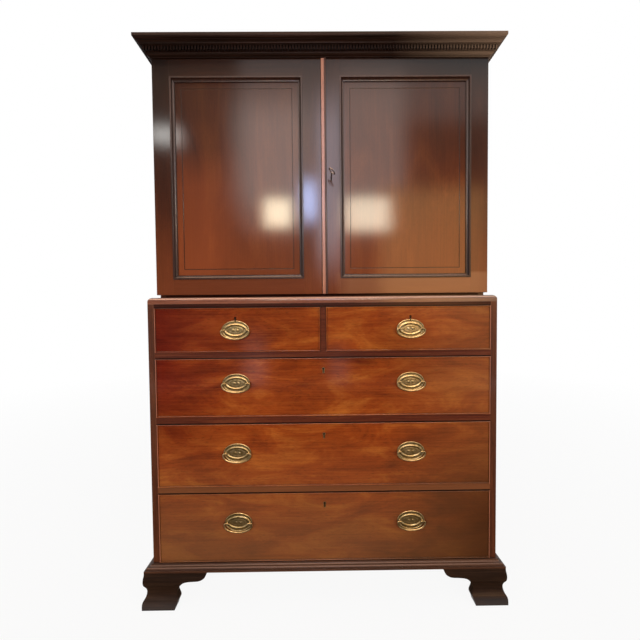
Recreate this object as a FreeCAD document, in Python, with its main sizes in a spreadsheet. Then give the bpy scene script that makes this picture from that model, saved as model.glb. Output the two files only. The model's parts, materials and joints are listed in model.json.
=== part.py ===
"""Linen press: a cupboard with two panelled doors on a chest of five drawers.

Millimetres.  +X is to the right of someone who faces the doors, +Y is to the back and +Z is up.
The origin is on the floor, in the middle of the press's width and depth.
"""
import FreeCAD, Part
import math
import os
import re

import Sketcher

doc = FreeCAD.newDocument("linen_press")

# --------------------------------------------------------------------------- driving dimensions

SIZES = {
    # chest: overall
    "lower_width": 1220,
    "lower_depth": 560,
    "foot_height": 127,
    "plinth_height": 20,
    "bottom_row_height": 246,
    "low_blade": 24,
    "third_row_height": 224,
    "mid_blade": 25,
    "second_row_height": 206,
    "high_blade": 22,
    "top_row_height": 156,
    "chest_top_thickness": 14,
    # chest: boards
    "case_wall": 22,
    "divider_width": 20,
    "blade_depth": 60,
    "runner_width": 45,
    "guide_height": 28,
    "back_thickness": 12,
    "rebate_width": 10,
    "board_gap": 0.6,
    "stop_length": 34,
    "stop_depth": 18,
    "stop_height": 7,
    "stop_inset": 120,
    # waist moulding
    "waist_height": 23,
    "waist_round": 14,
    # base moulding
    "base_projection": 23,
    "base_lip_height": 6,
    "base_lip_step": 4,
    # ogee bracket feet
    "toe_projection": 29,
    "foot_top_projection": 24,
    "foot_turn_projection": 25,
    "foot_turn_height": 84,
    "foot_shoulder_height": 122,
    "foot_bulge_radius": 51,
    "foot_hollow_radius": 55,
    "toe_height": 18,
    "ankle_height": 32,
    "facing_inset": 4,
    "toe_length": 114,
    "heel_length": 124,
    "heel_height": 24,
    "heel_radius": 40,
    "throat_length": 130,
    "throat_height": 82,
    "throat_radius": 22,
    "arm_length": 200,
    "arm_height": 107,
    "bracket_length": 223,
    "bracket_end_radius": 34,
    "foot_block": 48,
    "foot_block_lift": 2,
    "rear_bracket_thickness": 22,
    # drawers
    "drawer_gap": 1,
    "drawer_front_thickness": 20,
    "drawer_length": 520,
    "drawer_side_thickness": 10,
    "drawer_side_drop": 7,
    "drawer_bottom_thickness": 7,
    "drawer_bottom_lift": 13,
    "drawer_groove": 5,
    "slide_clearance": 0.3,
    "tail_length": 13,
    "tail_width": 26,
    "tail_splay": 3,
    "cockbead_thickness": 3.5,
    "cockbead_depth": 6,
    "cockbead_proud": 3,
    # pulls
    "pull_spacing": 612,
    "bottom_pull_drop": 104,
    "third_pull_drop": 103,
    "second_pull_drop": 87,
    "top_pull_drop": 79,
    "plate_length": 98,
    "plate_height": 67,
    "plate_thickness": 1,
    "plate_rim_height": 2.4,
    "plate_rim_width": 3.5,
    "plate_boss_length": 70,
    "plate_boss_height": 38,
    "plate_boss_rise": 1.2,
    "post_spacing": 79,
    "post_radius": 2.6,
    "post_collar_radius": 3.6,
    "post_collar_height": 2,
    "post_head_radius": 3.5,
    "post_head_height": 6.8,
    "pivot_height": 9,
    "pivot_radius": 1.9,
    "pivot_clearance": 0.06,
    "pivot_overhang": 1.4,
    "bail_span": 97,
    "bail_drop": 31.2,
    "bail_radius": 2.7,
    "bail_shoulder_gap": 0.5,
    "bail_corner": 2.4,
    "bail_side_radius": 20,
    # drawer locks and keyholes
    "lock_drop": 39,
    "lock_body_width": 56,
    "lock_body_height": 44,
    "lock_body_depth": 11,
    "keyhole_radius": 3.4,
    "keyhole_slot": 2.6,
    "keyhole_length": 17,
    # cupboard: overall
    "upper_inset": 16.5,
    "upper_setback": 33,
    "door_lift": 10.5,
    "door_height": 826,
    "door_gap": 1.5,
    "cornice_height": 53,
    # cupboard: boards
    "upper_wall": 20,
    "upper_board": 20,
    "door_lap": 10,
    "cornice_board": 18,
    "dust_board": 6,
    # clothes trays
    "tray_runner_width": 16,
    "tray_runner_height": 20,
    "tray_runner_setback": 8,
    "tray_setback": 22,
    "tray_back_gap": 6,
    "tray_side_gap": 2,
    "tray_height": 112,
    "tray_front_height": 62,
    "tray_scoop": 22,
    "tray_scoop_margin": 150,
    "tray_wall": 10,
    "tray_bottom": 7,
    # cornice: projections and heights of its mouldings
    "bed_fillet": 4,
    "bed_fillet_height": 3,
    "bed_round": 9,
    "dentil_floor": 13,
    "dentil_backing": 16,
    "dentil_height": 13,
    "dentil_depth": 7,
    "dentil_pitch": 10.5,
    "dentil_notch": 4.4,
    "corona_soffit": 24.5,
    "corona_fillet_height": 2,
    "cornice_cove": 8,
    "cove_fillet": 36,
    "cove_fillet_height": 2,
    "top_round": 7,
    # doors
    "door_thickness": 24,
    "hinge_gap": 1.2,
    "meeting_gap": 1.6,
    "outer_stile": 60,
    "meeting_stile": 65,
    "top_rail": 59,
    "bottom_rail": 55,
    "tenon_length": 38,
    "tenon_shoulder": 10,
    "tenon_thickness": 8,
    "panel_recess": 9,
    "panel_thickness": 9,
    "panel_groove": 9,
    "panel_fit": 0.5,
    "margin_inset": 22,
    "margin_line": 1.6,
    "margin_depth": 1,
    "moulding_width": 15,
    "moulding_lip": 2.5,
    "moulding_lip_width": 2,
    "moulding_hollow": 7,
    "moulding_crown": 5,
    "moulding_proud": 1.5,
    "astragal_width": 17.4,
    "astragal_flat": 11,
    "astragal_base": 3,
    "astragal_bead": 6,
    # hinges
    "hinge_inset": 92,
    "leaf_width": 21,
    "leaf_height": 76,
    "leaf_thickness": 1.5,
    "leaf_gap": 0.4,
    "knuckle_radius": 3.2,
    "knuckle_clearance": 0.5,
    "knuckle_end_gap": 0.3,
    "hinge_pin_radius": 1.25,
    "hinge_pin_clearance": 0.05,
    # door lock, bolt and key
    "key_inset": 33.8,
    "door_lock_width": 54,
    "door_lock_height": 70,
    "door_lock_depth": 15,
    "door_lock_wall": 2,
    "bolt_length": 42,
    "bolt_height": 13,
    "bolt_thickness": 5,
    "bolt_drop": 4,
    "bolt_clearance": 0.4,
    "mortise_depth": 12,
    "mortise_clearance": 1.2,
    "key_reach": 57,
    "key_tilt": 35,
    "key_shank_radius": 2.5,
    "key_collar_radius": 3.6,
    "key_collar_width": 2.5,
    "bow_width": 23.6,
    "bow_length": 28,
    "bow_wire": 4,
    "bow_thickness": 3.4,
    "bit_length": 10.5,
    "bit_width": 3.4,
    "bit_thickness": 2,
    "bit_gap": 0.6,
}

# ------------------------------------------------------------------- places worked out from them

LAYOUT = {
    "half_lower": "lower_width / 2",
    "upper_width": "lower_width - 2 * upper_inset",
    "half_upper": "upper_width / 2",
    "front": "(max(toe_projection; key_reach - upper_setback) - lower_depth) / 2",
    "back": "front + lower_depth",
    "chest_floor": "foot_height + plinth_height",
    "bottom_row_top": "chest_floor + bottom_row_height",
    "third_row_floor": "bottom_row_top + low_blade",
    "third_row_top": "third_row_floor + third_row_height",
    "second_row_floor": "third_row_top + mid_blade",
    "second_row_top": "second_row_floor + second_row_height",
    "top_row_floor": "second_row_top + high_blade",
    "top_row_top": "top_row_floor + top_row_height",
    "chest_top": "top_row_top + chest_top_thickness",
    "inner_width": "lower_width - 2 * case_wall",
    "short_width": "(inner_width - divider_width) / 2",
    "waist_top": "chest_top + waist_height",
    "door_front": "front + upper_setback",
    "door_back": "door_front + door_thickness",
    "hinge_line": "door_back + hinge_gap / 2",
    "cupboard_front": "door_back + hinge_gap",
    "door_floor": "waist_top + door_lift",
    "door_top": "door_floor + door_height",
    "door_middle": "door_floor + door_height / 2",
    "cupboard_floor": "door_floor + door_lap",
    "cupboard_top": "door_top + door_gap",
    "cupboard_ceiling": "cupboard_top - upper_board",
    "press_top": "cupboard_top + cornice_height",
    "inner_back": "back - back_thickness",
    "cornice_projection": "cove_fillet + top_round",
    "dentil_reach": "dentil_backing + dentil_depth",
    "dentil_ceiling": "dentil_floor + dentil_height",
    "cove_floor": "dentil_ceiling + corona_fillet_height",
    "round_floor": "cove_floor + cornice_cove + cove_fillet_height",
    "base_round": "(plinth_height - base_lip_height) / 2",
    "bead_rise": "astragal_bead - astragal_base",
    "bead_half": "(astragal_width - astragal_flat) / 2",
    "bead_radius": "(bead_half^2 + bead_rise^2) / (2 * bead_rise)",
    "tray_pitch": "(cupboard_ceiling - cupboard_floor) / 4",
    "tray_width": "upper_width - 2 * upper_wall - 2 * tray_side_gap",
    "tray_front": "cupboard_front + tray_setback",
    "tray_depth": "inner_back - tray_back_gap - tray_front",
    "meeting_edge": "meeting_gap / 2",
    "panel_left": "meeting_edge + meeting_stile",
    "panel_right": "half_upper - outer_stile",
    "panel_floor": "door_floor + bottom_rail",
    "panel_top": "door_top - top_rail",
    "panel_front": "door_front + panel_recess",
    "key_place": "meeting_edge + key_inset",
    "lock_front": "door_back - door_lock_depth",
    "bit_front": "lock_front + door_lock_wall + bit_gap",
    "bolt_front": "bit_front + bit_width + bit_gap",
}


def formula(text, own_sheet=False):
    """The text, with the name of each size led by the sheet that holds it."""

    def place(match):
        word = match.group()
        if word in SIZES:
            return "Sizes." + word
        if word in LAYOUT and not own_sheet:
            return "Layout." + word
        return word

    return re.sub(r"[a-z][a-z_]*", place, text)


def fill_sheet(name, rows):
    """A sheet with a readable name and a value, which has that name as its alias, in each row."""
    sheet = doc.addObject("Spreadsheet::Sheet", name)
    for row, (alias, entry) in enumerate(rows.items(), start=1):
        sheet.set(f"A{row}", alias.replace("_", " "))
        sheet.set(f"B{row}", str(entry))
        sheet.setAlias(f"B{row}", alias)
    return sheet


sizes = fill_sheet("Sizes", SIZES)
fill_sheet("Layout", {alias: "=" + formula(text, own_sheet=True) for alias, text in LAYOUT.items()})
doc.recompute()

# ------------------------------------------------------------------------------- building helpers

X_AXIS = FreeCAD.Vector(1, 0, 0)
Y_AXIS = FreeCAD.Vector(0, 1, 0)
Z_AXIS = FreeCAD.Vector(0, 0, 1)
# plane: how a sketch turns to lie in it, and the way that its prisms grow
PLANES = {
    "XY": (FreeCAD.Rotation(), Z_AXIS),
    "XZ": (FreeCAD.Rotation(X_AXIS, 90), Y_AXIS),
    "YZ": (FreeCAD.Rotation(FreeCAD.Vector(1, 1, 1), 120), X_AXIS),
}
FACING_OUT = FreeCAD.Rotation(X_AXIS, 90)  # turns a piece's own +Z to the front, -Y

FACETS = 8

nodes = []


def number(text):
    """What a formula comes to now."""
    result = sizes.evalExpression(formula(text))
    return getattr(result, "Value", result)


def bind(thing, **formulas):
    """Ties properties of a document object to formulas."""
    for name, text in formulas.items():
        thing.setExpression(name, formula(text))
    return thing


def put(thing, x="0", y="0", z="0"):
    """Ties an object's place to three formulas."""
    for axis, text in zip("xyz", (x, y, z)):
        thing.setExpression(f"Placement.Base.{axis}", formula(text))
    return thing


def board(name, low, size):
    """A squared board, from its lowest corner and its three sizes."""
    piece = doc.addObject("Part::Box", name)
    bind(piece, **dict(zip(("Length", "Width", "Height"), size)))
    return put(piece, *low)


def rod(name, radius, length, at, turn=FreeCAD.Rotation()):
    """An eight-sided rod along its own Z, whose corners are at the radius."""
    piece = doc.addObject("Part::Prism", name)
    piece.Polygon = FACETS
    piece.Placement.Rotation = turn
    bind(piece, Circumradius=radius, Height=length)
    return put(piece, *at)


def bore(name, radius, length, at, turn=FreeCAD.Rotation()):
    """An eight-sided hole's space, whose flats are at the radius, so that a rod can turn in it."""
    return rod(name, f"({radius}) * {1 / math.cos(math.pi / FACETS):.5f}", length, at, turn)


def draw(sketch, corners, closed=True):
    """Adds an outline, or an open path, to a sketch.  A corner is (across, up), or (across, up,
    turn, radius) where the side that leaves it is an arc that turns "left" or "right"."""
    start = len(sketch.Geometry)
    points = [FreeCAD.Vector(number(c[0]), number(c[1]), 0) for c in corners]
    sides = corners if closed else corners[:-1]
    ends = []
    bound = []
    for index, corner in enumerate(sides):
        here, there = points[index], points[(index + 1) % len(points)]
        if len(corner) == 2:
            sketch.addGeometry(Part.LineSegment(here, there))
            ends.append((1, 2))
            continue
        turn, radius = corner[2], number(corner[3])
        chord = there - here
        side = 1 if turn == "left" else -1
        reach = max(radius**2 - (chord.Length / 2) ** 2, 0) ** 0.5
        centre = (here + there) * 0.5 + FreeCAD.Vector(-chord.y, chord.x, 0).normalize() * reach * side
        circle = Part.Circle(centre, Z_AXIS, radius)
        first, last = (here, there) if turn == "left" else (there, here)
        sketch.addGeometry(Part.ArcOfCircle(circle, circle.parameter(first), circle.parameter(last)))
        ends.append((1, 2) if turn == "left" else (2, 1))
        bound.append((Sketcher.Constraint("Radius", start + index, radius), corner[3]))
    for index, (point, corner) in enumerate(zip(points, corners)):
        before = (index - 1) % len(sides)
        vertex = (start + before, ends[before][1])
        if closed or 0 < index < len(sides):
            bound.append((Sketcher.Constraint("Coincident", *vertex, start + index, ends[index][0]), ""))
        if index < len(sides):
            vertex = (start + index, ends[index][0])
        bound.append((Sketcher.Constraint("DistanceX", *vertex, point.x), corner[0]))
        bound.append((Sketcher.Constraint("DistanceY", *vertex, point.y), corner[1]))
    first = len(sketch.Constraints)
    sketch.addConstraint([constraint for constraint, text in bound])
    for index, (constraint, text) in enumerate(bound, start=first):
        if re.search("[a-z]", text):
            sketch.setExpression(f"Constraints[{index}]", formula(text))


def oval_corners(half_length, half_height, count, middle=("0", "0")):
    """Corners, evenly turned, of an oval round a point of a sketch."""
    turns = [math.radians(360 / count * (side + 0.5)) for side in range(count)]
    return [
        (
            f"{middle[0]} + {half_length} * {math.cos(turn):.5f}",
            f"{middle[1]} + {half_height} * {math.sin(turn):.5f}",
        )
        for turn in turns
    ]


def prism(name, plane, corners, start, length):
    """A moulding or board: an outline that lies in a plane, drawn out along the plane's axis."""
    turn, grows = PLANES[plane]
    sketch = doc.addObject("Sketcher::SketchObject", name + "_outline")
    sketch.Placement.Rotation = turn
    draw(sketch, corners)
    put(sketch, *(start if step else "0" for step in grows))
    piece = doc.addObject("Part::Extrusion", name)
    piece.Base = sketch
    piece.DirMode = "Custom"
    piece.Dir = grows
    piece.Solid = True
    return bind(piece, LengthFwd=length)


def joined(kind, name, pieces):
    """One shape from several: a MultiFuse, MultiCommon or Compound."""
    whole = doc.addObject("Part::" + kind, name)
    if kind == "Compound":
        whole.Links = pieces
    else:
        whole.Shapes = pieces
    return whole


def fuse(name, *pieces):
    return joined("MultiFuse", name, list(pieces))


def common(name, *pieces):
    return joined("MultiCommon", name, list(pieces))


def group(name, *pieces):
    return joined("Compound", name, list(pieces))


def cut(name, base, *tools):
    """The base with the tools' space taken out of it."""
    piece = doc.addObject("Part::Cut", name)
    piece.Base = base
    piece.Tool = tools[0] if len(tools) == 1 else group(name + "_tools", *tools)
    return piece


def mirrored(name, source, across=X_AXIS, at=("0", "0", "0")):
    """A copy of the source on the other side of a plane."""
    piece = doc.addObject("Part::Mirroring", name)
    piece.Source = source
    piece.Normal = across
    for axis, text in zip("xyz", at):
        piece.setExpression(f"Base.{axis}", formula(text))
    return piece


def copy(name, source, at, turn=FreeCAD.Rotation()):
    """The same piece again, in another place."""
    link = doc.addObject("App::Link", name)
    link.LinkedObject = source
    link.Placement.Rotation = turn
    return put(link, *at)


def body(name, at=("0", "0", "0")):
    return put(doc.addObject("PartDesign::Body", name), *at)


def body_sketch(owner, name, plane, offset="0"):
    """An empty sketch on one of a body's own planes, or at a distance from it."""
    sketch = owner.newObject("Sketcher::SketchObject", name)
    planes = {feature.Role: feature for feature in owner.Origin.OriginFeatures}
    sketch.AttachmentSupport = (planes[plane + "_Plane"], "")
    sketch.MapMode = "FlatFace"
    sketch.setExpression("AttachmentOffset.Base.z", formula(offset))
    return sketch


def node(label, *pieces):
    """A sub-part: one piece, or several separate solids that belong together."""
    part = pieces[0] if len(pieces) == 1 else group(label, *pieces)
    part.Label = label
    nodes.append(part)
    return part


# ------------------------------------------------------------------------------------ lower case

SIDE_X = "-half_lower + case_wall"
BACK_BOARDS = 3
UPPER_BACK_BOARDS = 4


def plank_row(name, count, along, low, size):
    """Count boards side by side along one axis, with a small gap at each joint."""
    planks = []
    for index in range(count):
        corner, extent = list(low), list(size)
        corner[along] = f"{low[along]} + ({size[along]}) * {index} / {count} + board_gap / 2"
        extent[along] = f"({size[along]}) / {count} - board_gap"
        planks.append(board(f"{name}_{index + 1}", corner, extent))
    return planks


lower_back = node(
    "lower_back",
    *plank_row(
        "lower_back_board",
        BACK_BOARDS,
        2,
        (f"{SIDE_X} - rebate_width", "inner_back", "foot_height"),
        ("inner_width + 2 * rebate_width", "back_thickness", "chest_top - foot_height"),
    ),
)

lower_side = cut(
    "lower_side_left",
    board(
        "lower_side_board",
        ("-half_lower", "front", "foot_height"),
        ("case_wall", "lower_depth", "chest_top - foot_height"),
    ),
    lower_back,
)
node("lower_side_left", lower_side)
node("lower_side_right", mirrored("lower_side_right", lower_side))

node(
    "lower_bottom",
    board(
        "lower_bottom",
        (SIDE_X, "front", "foot_height"),
        ("inner_width", "lower_depth - back_thickness", "plinth_height"),
    ),
)
node(
    "lower_top",
    board(
        "lower_top",
        (SIDE_X, "front", "top_row_top"),
        ("inner_width", "lower_depth - back_thickness", "chest_top_thickness"),
    ),
)

BLADES = (("low", "bottom_row_top"), ("mid", "third_row_top"), ("high", "second_row_top"))

blades = [
    board(f"{level}_drawer_blade", (SIDE_X, "front", floor), ("inner_width", "blade_depth", f"{level}_blade"))
    for level, floor in BLADES
]
divider = board(
    "short_drawer_divider",
    ("-divider_width / 2", "front", "top_row_floor"),
    ("divider_width", "blade_depth", "top_row_height"),
)
node("drawer_rails_and_divider", *blades, divider)

RUNNER_Y = "front + blade_depth"
RUNNER_LENGTH = "lower_depth - blade_depth - back_thickness"
runners = []
for level, floor in BLADES:
    size = ("runner_width", RUNNER_LENGTH, f"{level}_blade")
    left_runner = board(f"{level}_runner", (SIDE_X, RUNNER_Y, floor), size)
    runners += [left_runner, mirrored(f"{level}_runner_right", left_runner)]
runners.append(
    board(
        "middle_runner",
        ("-runner_width", RUNNER_Y, "second_row_top"),
        ("2 * runner_width", RUNNER_LENGTH, "high_blade"),
    )
)
runners.append(
    board(
        "middle_guide",
        ("-divider_width / 2", RUNNER_Y, "top_row_floor"),
        ("divider_width", RUNNER_LENGTH, "guide_height"),
    )
)

# row: the floor and top of its openings, and how far its pulls are below that top
ROWS = {
    "top": ("top_row_floor", "top_row_height"),
    "second": ("second_row_floor", "second_row_height"),
    "third": ("third_row_floor", "third_row_height"),
    "bottom": ("chest_floor", "bottom_row_height"),
}
# drawer: its row, the left edge and width of its opening, and the middles of its pulls
DRAWERS = {
    "top_left": ("top", SIDE_X, "short_width", ("-pull_spacing / 2",)),
    "top_right": ("top", "divider_width / 2", "short_width", ("pull_spacing / 2",)),
    "second": ("second", SIDE_X, "inner_width", ("-pull_spacing / 2", "pull_spacing / 2")),
    "third": ("third", SIDE_X, "inner_width", ("-pull_spacing / 2", "pull_spacing / 2")),
    "bottom": ("bottom", SIDE_X, "inner_width", ("-pull_spacing / 2", "pull_spacing / 2")),
}

stops = []
for drawer, (row, left, width, pulls) in DRAWERS.items():
    floor = ROWS[row][0]
    right_stop = f"{left} + {width} - stop_inset - stop_length"
    for hand, x in (("left", f"{left} + stop_inset"), ("right", right_stop)):
        low = (x, "front + drawer_front_thickness + slide_clearance", floor)
        stops.append(board(f"{drawer}_stop_{hand}", low, ("stop_length", "stop_depth", "stop_height")))
node("drawer_runners_and_stops", *runners, *stops)

# ------------------------------------------------- mouldings that go round the front and the sides

FLIPPED = {"left": "right", "right": "left"}


def flipped(arc):
    """An arc's turn and radius, seen from the other side; a straight side has none."""
    return [FLIPPED[arc[0]], arc[1]] if arc else []


def facing(profile, place):
    """The profile's corners, (how far it stands out, height), set out from a plane to its -side."""
    return [(f"{place[0]} - ({out})", f"{place[1]} + {up}", *flipped(arc)) for out, up, *arc in profile]


def wrapped_moulding(label, profile, case, front_plan, side_plan, side_profile=None):
    """A moulding across the front with a mitred return down each side.  case is the half width and
    the front plane of the case that it goes round, its base, and how far it stands out at most."""
    half, face, base, reach = case
    long_run = prism(
        label + "_front_run",
        "YZ",
        facing(profile, (face, base)),
        f"-({half} + {reach})",
        f"2 * ({half} + {reach})",
    )
    front_mask = prism(label + "_front_plan", "XY", front_plan, "0", "press_top")
    front = common(label + "_front", long_run, front_mask)
    side_run = prism(
        label + "_side_run",
        "XZ",
        facing(side_profile or profile, (f"-({half})", base)),
        f"{face} - {reach}",
        f"back - ({face}) + {reach}",
    )
    side_mask = prism(label + "_side_plan", "XY", side_plan, "0", "press_top")
    left = common(label + "_left", side_run, side_mask)
    return node(label, front, left, mirrored(label + "_right", left))


def mitred_plans(half, face, reach):
    """Plans of the front length and of the left return, which meet at the corner's 45 degrees."""
    tip = (f"-({half} + {reach})", f"{face} - {reach}")
    corner = (f"-({half})", face)
    front = [tip, (f"{half} + {reach}", tip[1]), (half, face), corner]
    side = [tip, corner, (corner[0], "back"), (tip[0], "back")]
    return front, side


def thumb(width):
    """The waist's moulding: a rounded nose in front of a flat top of a given width."""
    return [
        ("0", "0"),
        ("0", "waist_height - waist_round", "left", "waist_round"),
        ("-waist_round", "waist_height"),
        (f"-({width})", "waist_height"),
        (f"-({width})", "0"),
    ]


wrapped_moulding(
    "waist_moulding",
    thumb("cupboard_front - front"),
    ("half_lower", "front", "chest_top", "0"),
    [
        ("-half_lower", "front"),
        ("half_lower", "front"),
        ("half_upper", "front + upper_inset"),
        ("half_upper", "cupboard_front"),
        ("-half_upper", "cupboard_front"),
        ("-half_upper", "front + upper_inset"),
    ],
    [
        ("-half_lower", "front"),
        ("-half_upper", "front + upper_inset"),
        ("-half_upper", "back"),
        ("-half_lower", "back"),
    ],
    side_profile=thumb("upper_inset"),
)

BASE_PROFILE = [
    ("0", "0"),
    ("base_projection", "0"),
    ("base_projection", "base_lip_height"),
    ("base_projection - base_lip_step", "base_lip_height", "left", "base_round"),
    ("base_projection - base_lip_step - base_round", "base_lip_height + base_round", "right", "base_round"),
    ("base_projection - base_lip_step - 2 * base_round", "plinth_height"),
    ("0", "plinth_height"),
]
wrapped_moulding(
    "base_moulding",
    BASE_PROFILE,
    ("half_lower", "front", "foot_height", "base_projection"),
    *mitred_plans("half_lower", "front", "base_projection"),
)

CORNICE_PROFILE = [
    ("0", "0"),
    ("bed_fillet", "0"),
    ("bed_fillet", "bed_fillet_height", "left", "bed_round"),
    ("bed_fillet + bed_round", "bed_fillet_height + bed_round"),
    ("bed_fillet + bed_round", "dentil_floor"),
    ("dentil_backing", "dentil_floor"),
    ("dentil_backing", "dentil_ceiling"),
    ("corona_soffit", "dentil_ceiling"),
    ("corona_soffit", "cove_floor"),
    ("cove_fillet - cornice_cove", "cove_floor", "right", "cornice_cove"),
    ("cove_fillet", "cove_floor + cornice_cove"),
    ("cove_fillet", "round_floor", "left", "top_round"),
    ("cornice_projection", "round_floor + top_round"),
    ("cornice_projection", "cornice_height"),
    ("0", "cornice_height"),
]
wrapped_moulding(
    "cornice_moulding",
    CORNICE_PROFILE,
    ("half_upper", "door_front", "cupboard_top", "cornice_projection"),
    *mitred_plans("half_upper", "door_front", "cornice_projection"),
)


# ------------------------------------------------------------------------- dentils of the cornice


def dentil_row(name, length, at):
    """A row of dentils along its own X, which stand out towards its own -Y."""
    row = body(name, at)
    row.AllowCompound = True
    count = f"floor(({length} + dentil_notch) / dentil_pitch)"
    first = f"({length} - {count} * dentil_pitch + dentil_notch) / 2"
    outline = body_sketch(row, name + "_outline", "XY")
    draw(
        outline,
        [
            (first, "-dentil_depth"),
            (f"{first} + dentil_pitch - dentil_notch", "-dentil_depth"),
            (f"{first} + dentil_pitch - dentil_notch", "0"),
            (first, "0"),
        ],
    )
    dentil = row.newObject("PartDesign::Pad", name + "_dentil")
    dentil.Profile = outline
    bind(dentil, Length="dentil_height")
    doc.recompute()
    dentils = row.newObject("PartDesign::LinearPattern", name + "_dentils")
    dentils.Originals = [dentil]
    dentils.Direction = (outline, ["H_Axis"])
    bind(dentils, Occurrences=count, Length=f"({count} - 1) * dentil_pitch")
    row.Tip = dentils
    return row


DENTIL_Z = "cupboard_top + dentil_floor"
front_dentils = dentil_row(
    "dentils_front",
    "2 * (half_upper + dentil_reach)",
    ("-half_upper - dentil_reach", "door_front - dentil_backing", DENTIL_Z),
)
left_dentils = dentil_row(
    "dentils_left",
    "back - door_front + dentil_backing",
    ("-half_upper - dentil_backing", "back", DENTIL_Z),
)
left_dentils.Placement.Rotation = FreeCAD.Rotation(Z_AXIS, -90)
node("cornice_dentils", front_dentils, left_dentils, mirrored("dentils_right", left_dentils))

# ------------------------------------------------------------------------------ ogee bracket feet

FOOT_PROFILE = [
    ("-facing_inset", "0"),
    ("toe_projection", "0"),
    ("toe_projection", "toe_height"),
    ("foot_turn_projection", "ankle_height", "right", "foot_hollow_radius"),
    ("foot_turn_projection", "foot_turn_height", "left", "foot_bulge_radius"),
    ("foot_top_projection", "foot_shoulder_height"),
    ("foot_top_projection", "foot_height"),
    ("-facing_inset", "foot_height"),
]
# along the floor from the toe, and up
BRACKET = [
    ("0", "0"),
    ("toe_length", "0"),
    ("heel_length", "heel_height", "left", "heel_radius"),
    ("throat_length", "throat_height", "right", "throat_radius"),
    ("throat_length + throat_radius", "throat_height + throat_radius"),
    ("arm_length", "arm_height", "left", "bracket_end_radius"),
    ("bracket_length", "foot_height"),
    ("0", "foot_height"),
]
FOOT_X = "-half_lower - toe_projection"
FOOT_Y = "front - toe_projection"
INNER_X = "-half_lower + facing_inset"
INNER_Y = "front + facing_inset"


def bracket(start, back_to_front=False):
    """The bracket's outline from a start; back to front it runs the other way."""
    if not back_to_front:
        return [(f"{start} + {along}", *rest) for along, *rest in BRACKET]
    return [
        (f"{start} - ({along})", up, *flipped(arc))
        for along, up, *arc in BRACKET
    ]


FACING_REACH = "toe_projection + facing_inset"
front_facing = common(
    "front_facing",
    prism("front_facing_run", "YZ", facing(FOOT_PROFILE, ("front", "0")), FOOT_X, "bracket_length"),
    prism("front_facing_bracket", "XZ", bracket(FOOT_X), FOOT_Y, FACING_REACH),
    prism(
        "front_facing_plan",
        "XY",
        [
            (FOOT_X, FOOT_Y),
            (f"{FOOT_X} + bracket_length", FOOT_Y),
            (f"{FOOT_X} + bracket_length", INNER_Y),
            (INNER_X, INNER_Y),
        ],
        "0",
        "foot_height",
    ),
)
side_facing = common(
    "side_facing",
    prism("side_facing_run", "XZ", facing(FOOT_PROFILE, ("-half_lower", "0")), FOOT_Y, "bracket_length"),
    prism("side_facing_bracket", "YZ", bracket(FOOT_Y), FOOT_X, FACING_REACH),
    prism(
        "side_facing_plan",
        "XY",
        [
            (FOOT_X, FOOT_Y),
            (INNER_X, INNER_Y),
            (INNER_X, f"{FOOT_Y} + bracket_length"),
            (FOOT_X, f"{FOOT_Y} + bracket_length"),
        ],
        "0",
        "foot_height",
    ),
)
BLOCK = ("foot_block", "foot_block", "foot_height - foot_block_lift")
front_foot = node(
    "foot_front_left",
    front_facing,
    side_facing,
    board("front_foot_block", (INNER_X, INNER_Y, "foot_block_lift"), BLOCK),
)
node("foot_front_right", mirrored("front_foot_right", front_foot))

rear_facing = common(
    "rear_facing",
    prism(
        "rear_facing_run",
        "XZ",
        facing(FOOT_PROFILE, ("-half_lower", "0")),
        "back - bracket_length",
        "bracket_length",
    ),
    prism("rear_facing_bracket", "YZ", bracket("back", back_to_front=True), FOOT_X, FACING_REACH),
)
rear_bracket = prism(
    "rear_bracket",
    "XZ",
    bracket(INNER_X),
    "back - rear_bracket_thickness",
    "rear_bracket_thickness",
)
rear_block = board(
    "rear_foot_block",
    (INNER_X, "back - rear_bracket_thickness - foot_block", "foot_block_lift"),
    BLOCK,
)
rear_left = group("rear_foot_left", rear_facing, rear_bracket, rear_block)
node("feet_rear", rear_left, mirrored("rear_foot_right", rear_left))

# ----------------------------------------------------------------- oval pulls, made facing up (+Z)


OVAL_SIDES = 16


def oval(name, length, height, floor, top):
    """A straight-sided oval, from its length and height, between two levels."""
    outline = doc.addObject("Sketcher::SketchObject", name + "_outline")
    draw(outline, oval_corners(f"({length}) / 2", f"({height}) / 2", OVAL_SIDES))
    put(outline, z=floor)
    piece = doc.addObject("Part::Extrusion", name)
    piece.Base = outline
    piece.DirMode = "Custom"
    piece.Dir = Z_AXIS
    piece.Solid = True
    return bind(piece, LengthFwd=f"{top} - ({floor})")


post_neck = rod("post_neck", "post_radius", "pivot_height", ("0", "0", "0"))
post_head = rod(
    "post_head",
    "post_head_radius",
    "post_head_height",
    ("0", "0", "pivot_height - post_head_height / 2"),
)
post_collar = rod(
    "post_collar",
    "post_collar_radius",
    "plate_thickness + post_collar_height",
    ("0", "0", "0"),
)
pull_post = cut(
    "pull_post",
    fuse("post_blank", post_neck, post_head, post_collar),
    bore(
        "pivot_hole",
        "pivot_radius + pivot_clearance",
        "4 * post_head_radius",
        ("-2 * post_head_radius", "0", "pivot_height"),
        FreeCAD.Rotation(Y_AXIS, 90),
    ),
)
posts = [
    copy(f"{hand}_post", pull_post, (x, "0", "0"))
    for hand, x in (("left", "-post_spacing / 2"), ("right", "post_spacing / 2"))
]

raised_plate = oval("raised_plate", "plate_length", "plate_height", "0", "plate_rim_height")
dish = oval(
    "plate_dish",
    "plate_length - 2 * plate_rim_width",
    "plate_height - 2 * plate_rim_width",
    "plate_thickness",
    "plate_rim_height",
)
boss = oval(
    "plate_boss",
    "plate_boss_length",
    "plate_boss_height",
    "plate_thickness",
    "plate_thickness + plate_boss_rise",
)
pull_plate = fuse("pull_plate", cut("dished_plate", raised_plate, dish), boss, *posts)

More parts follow.
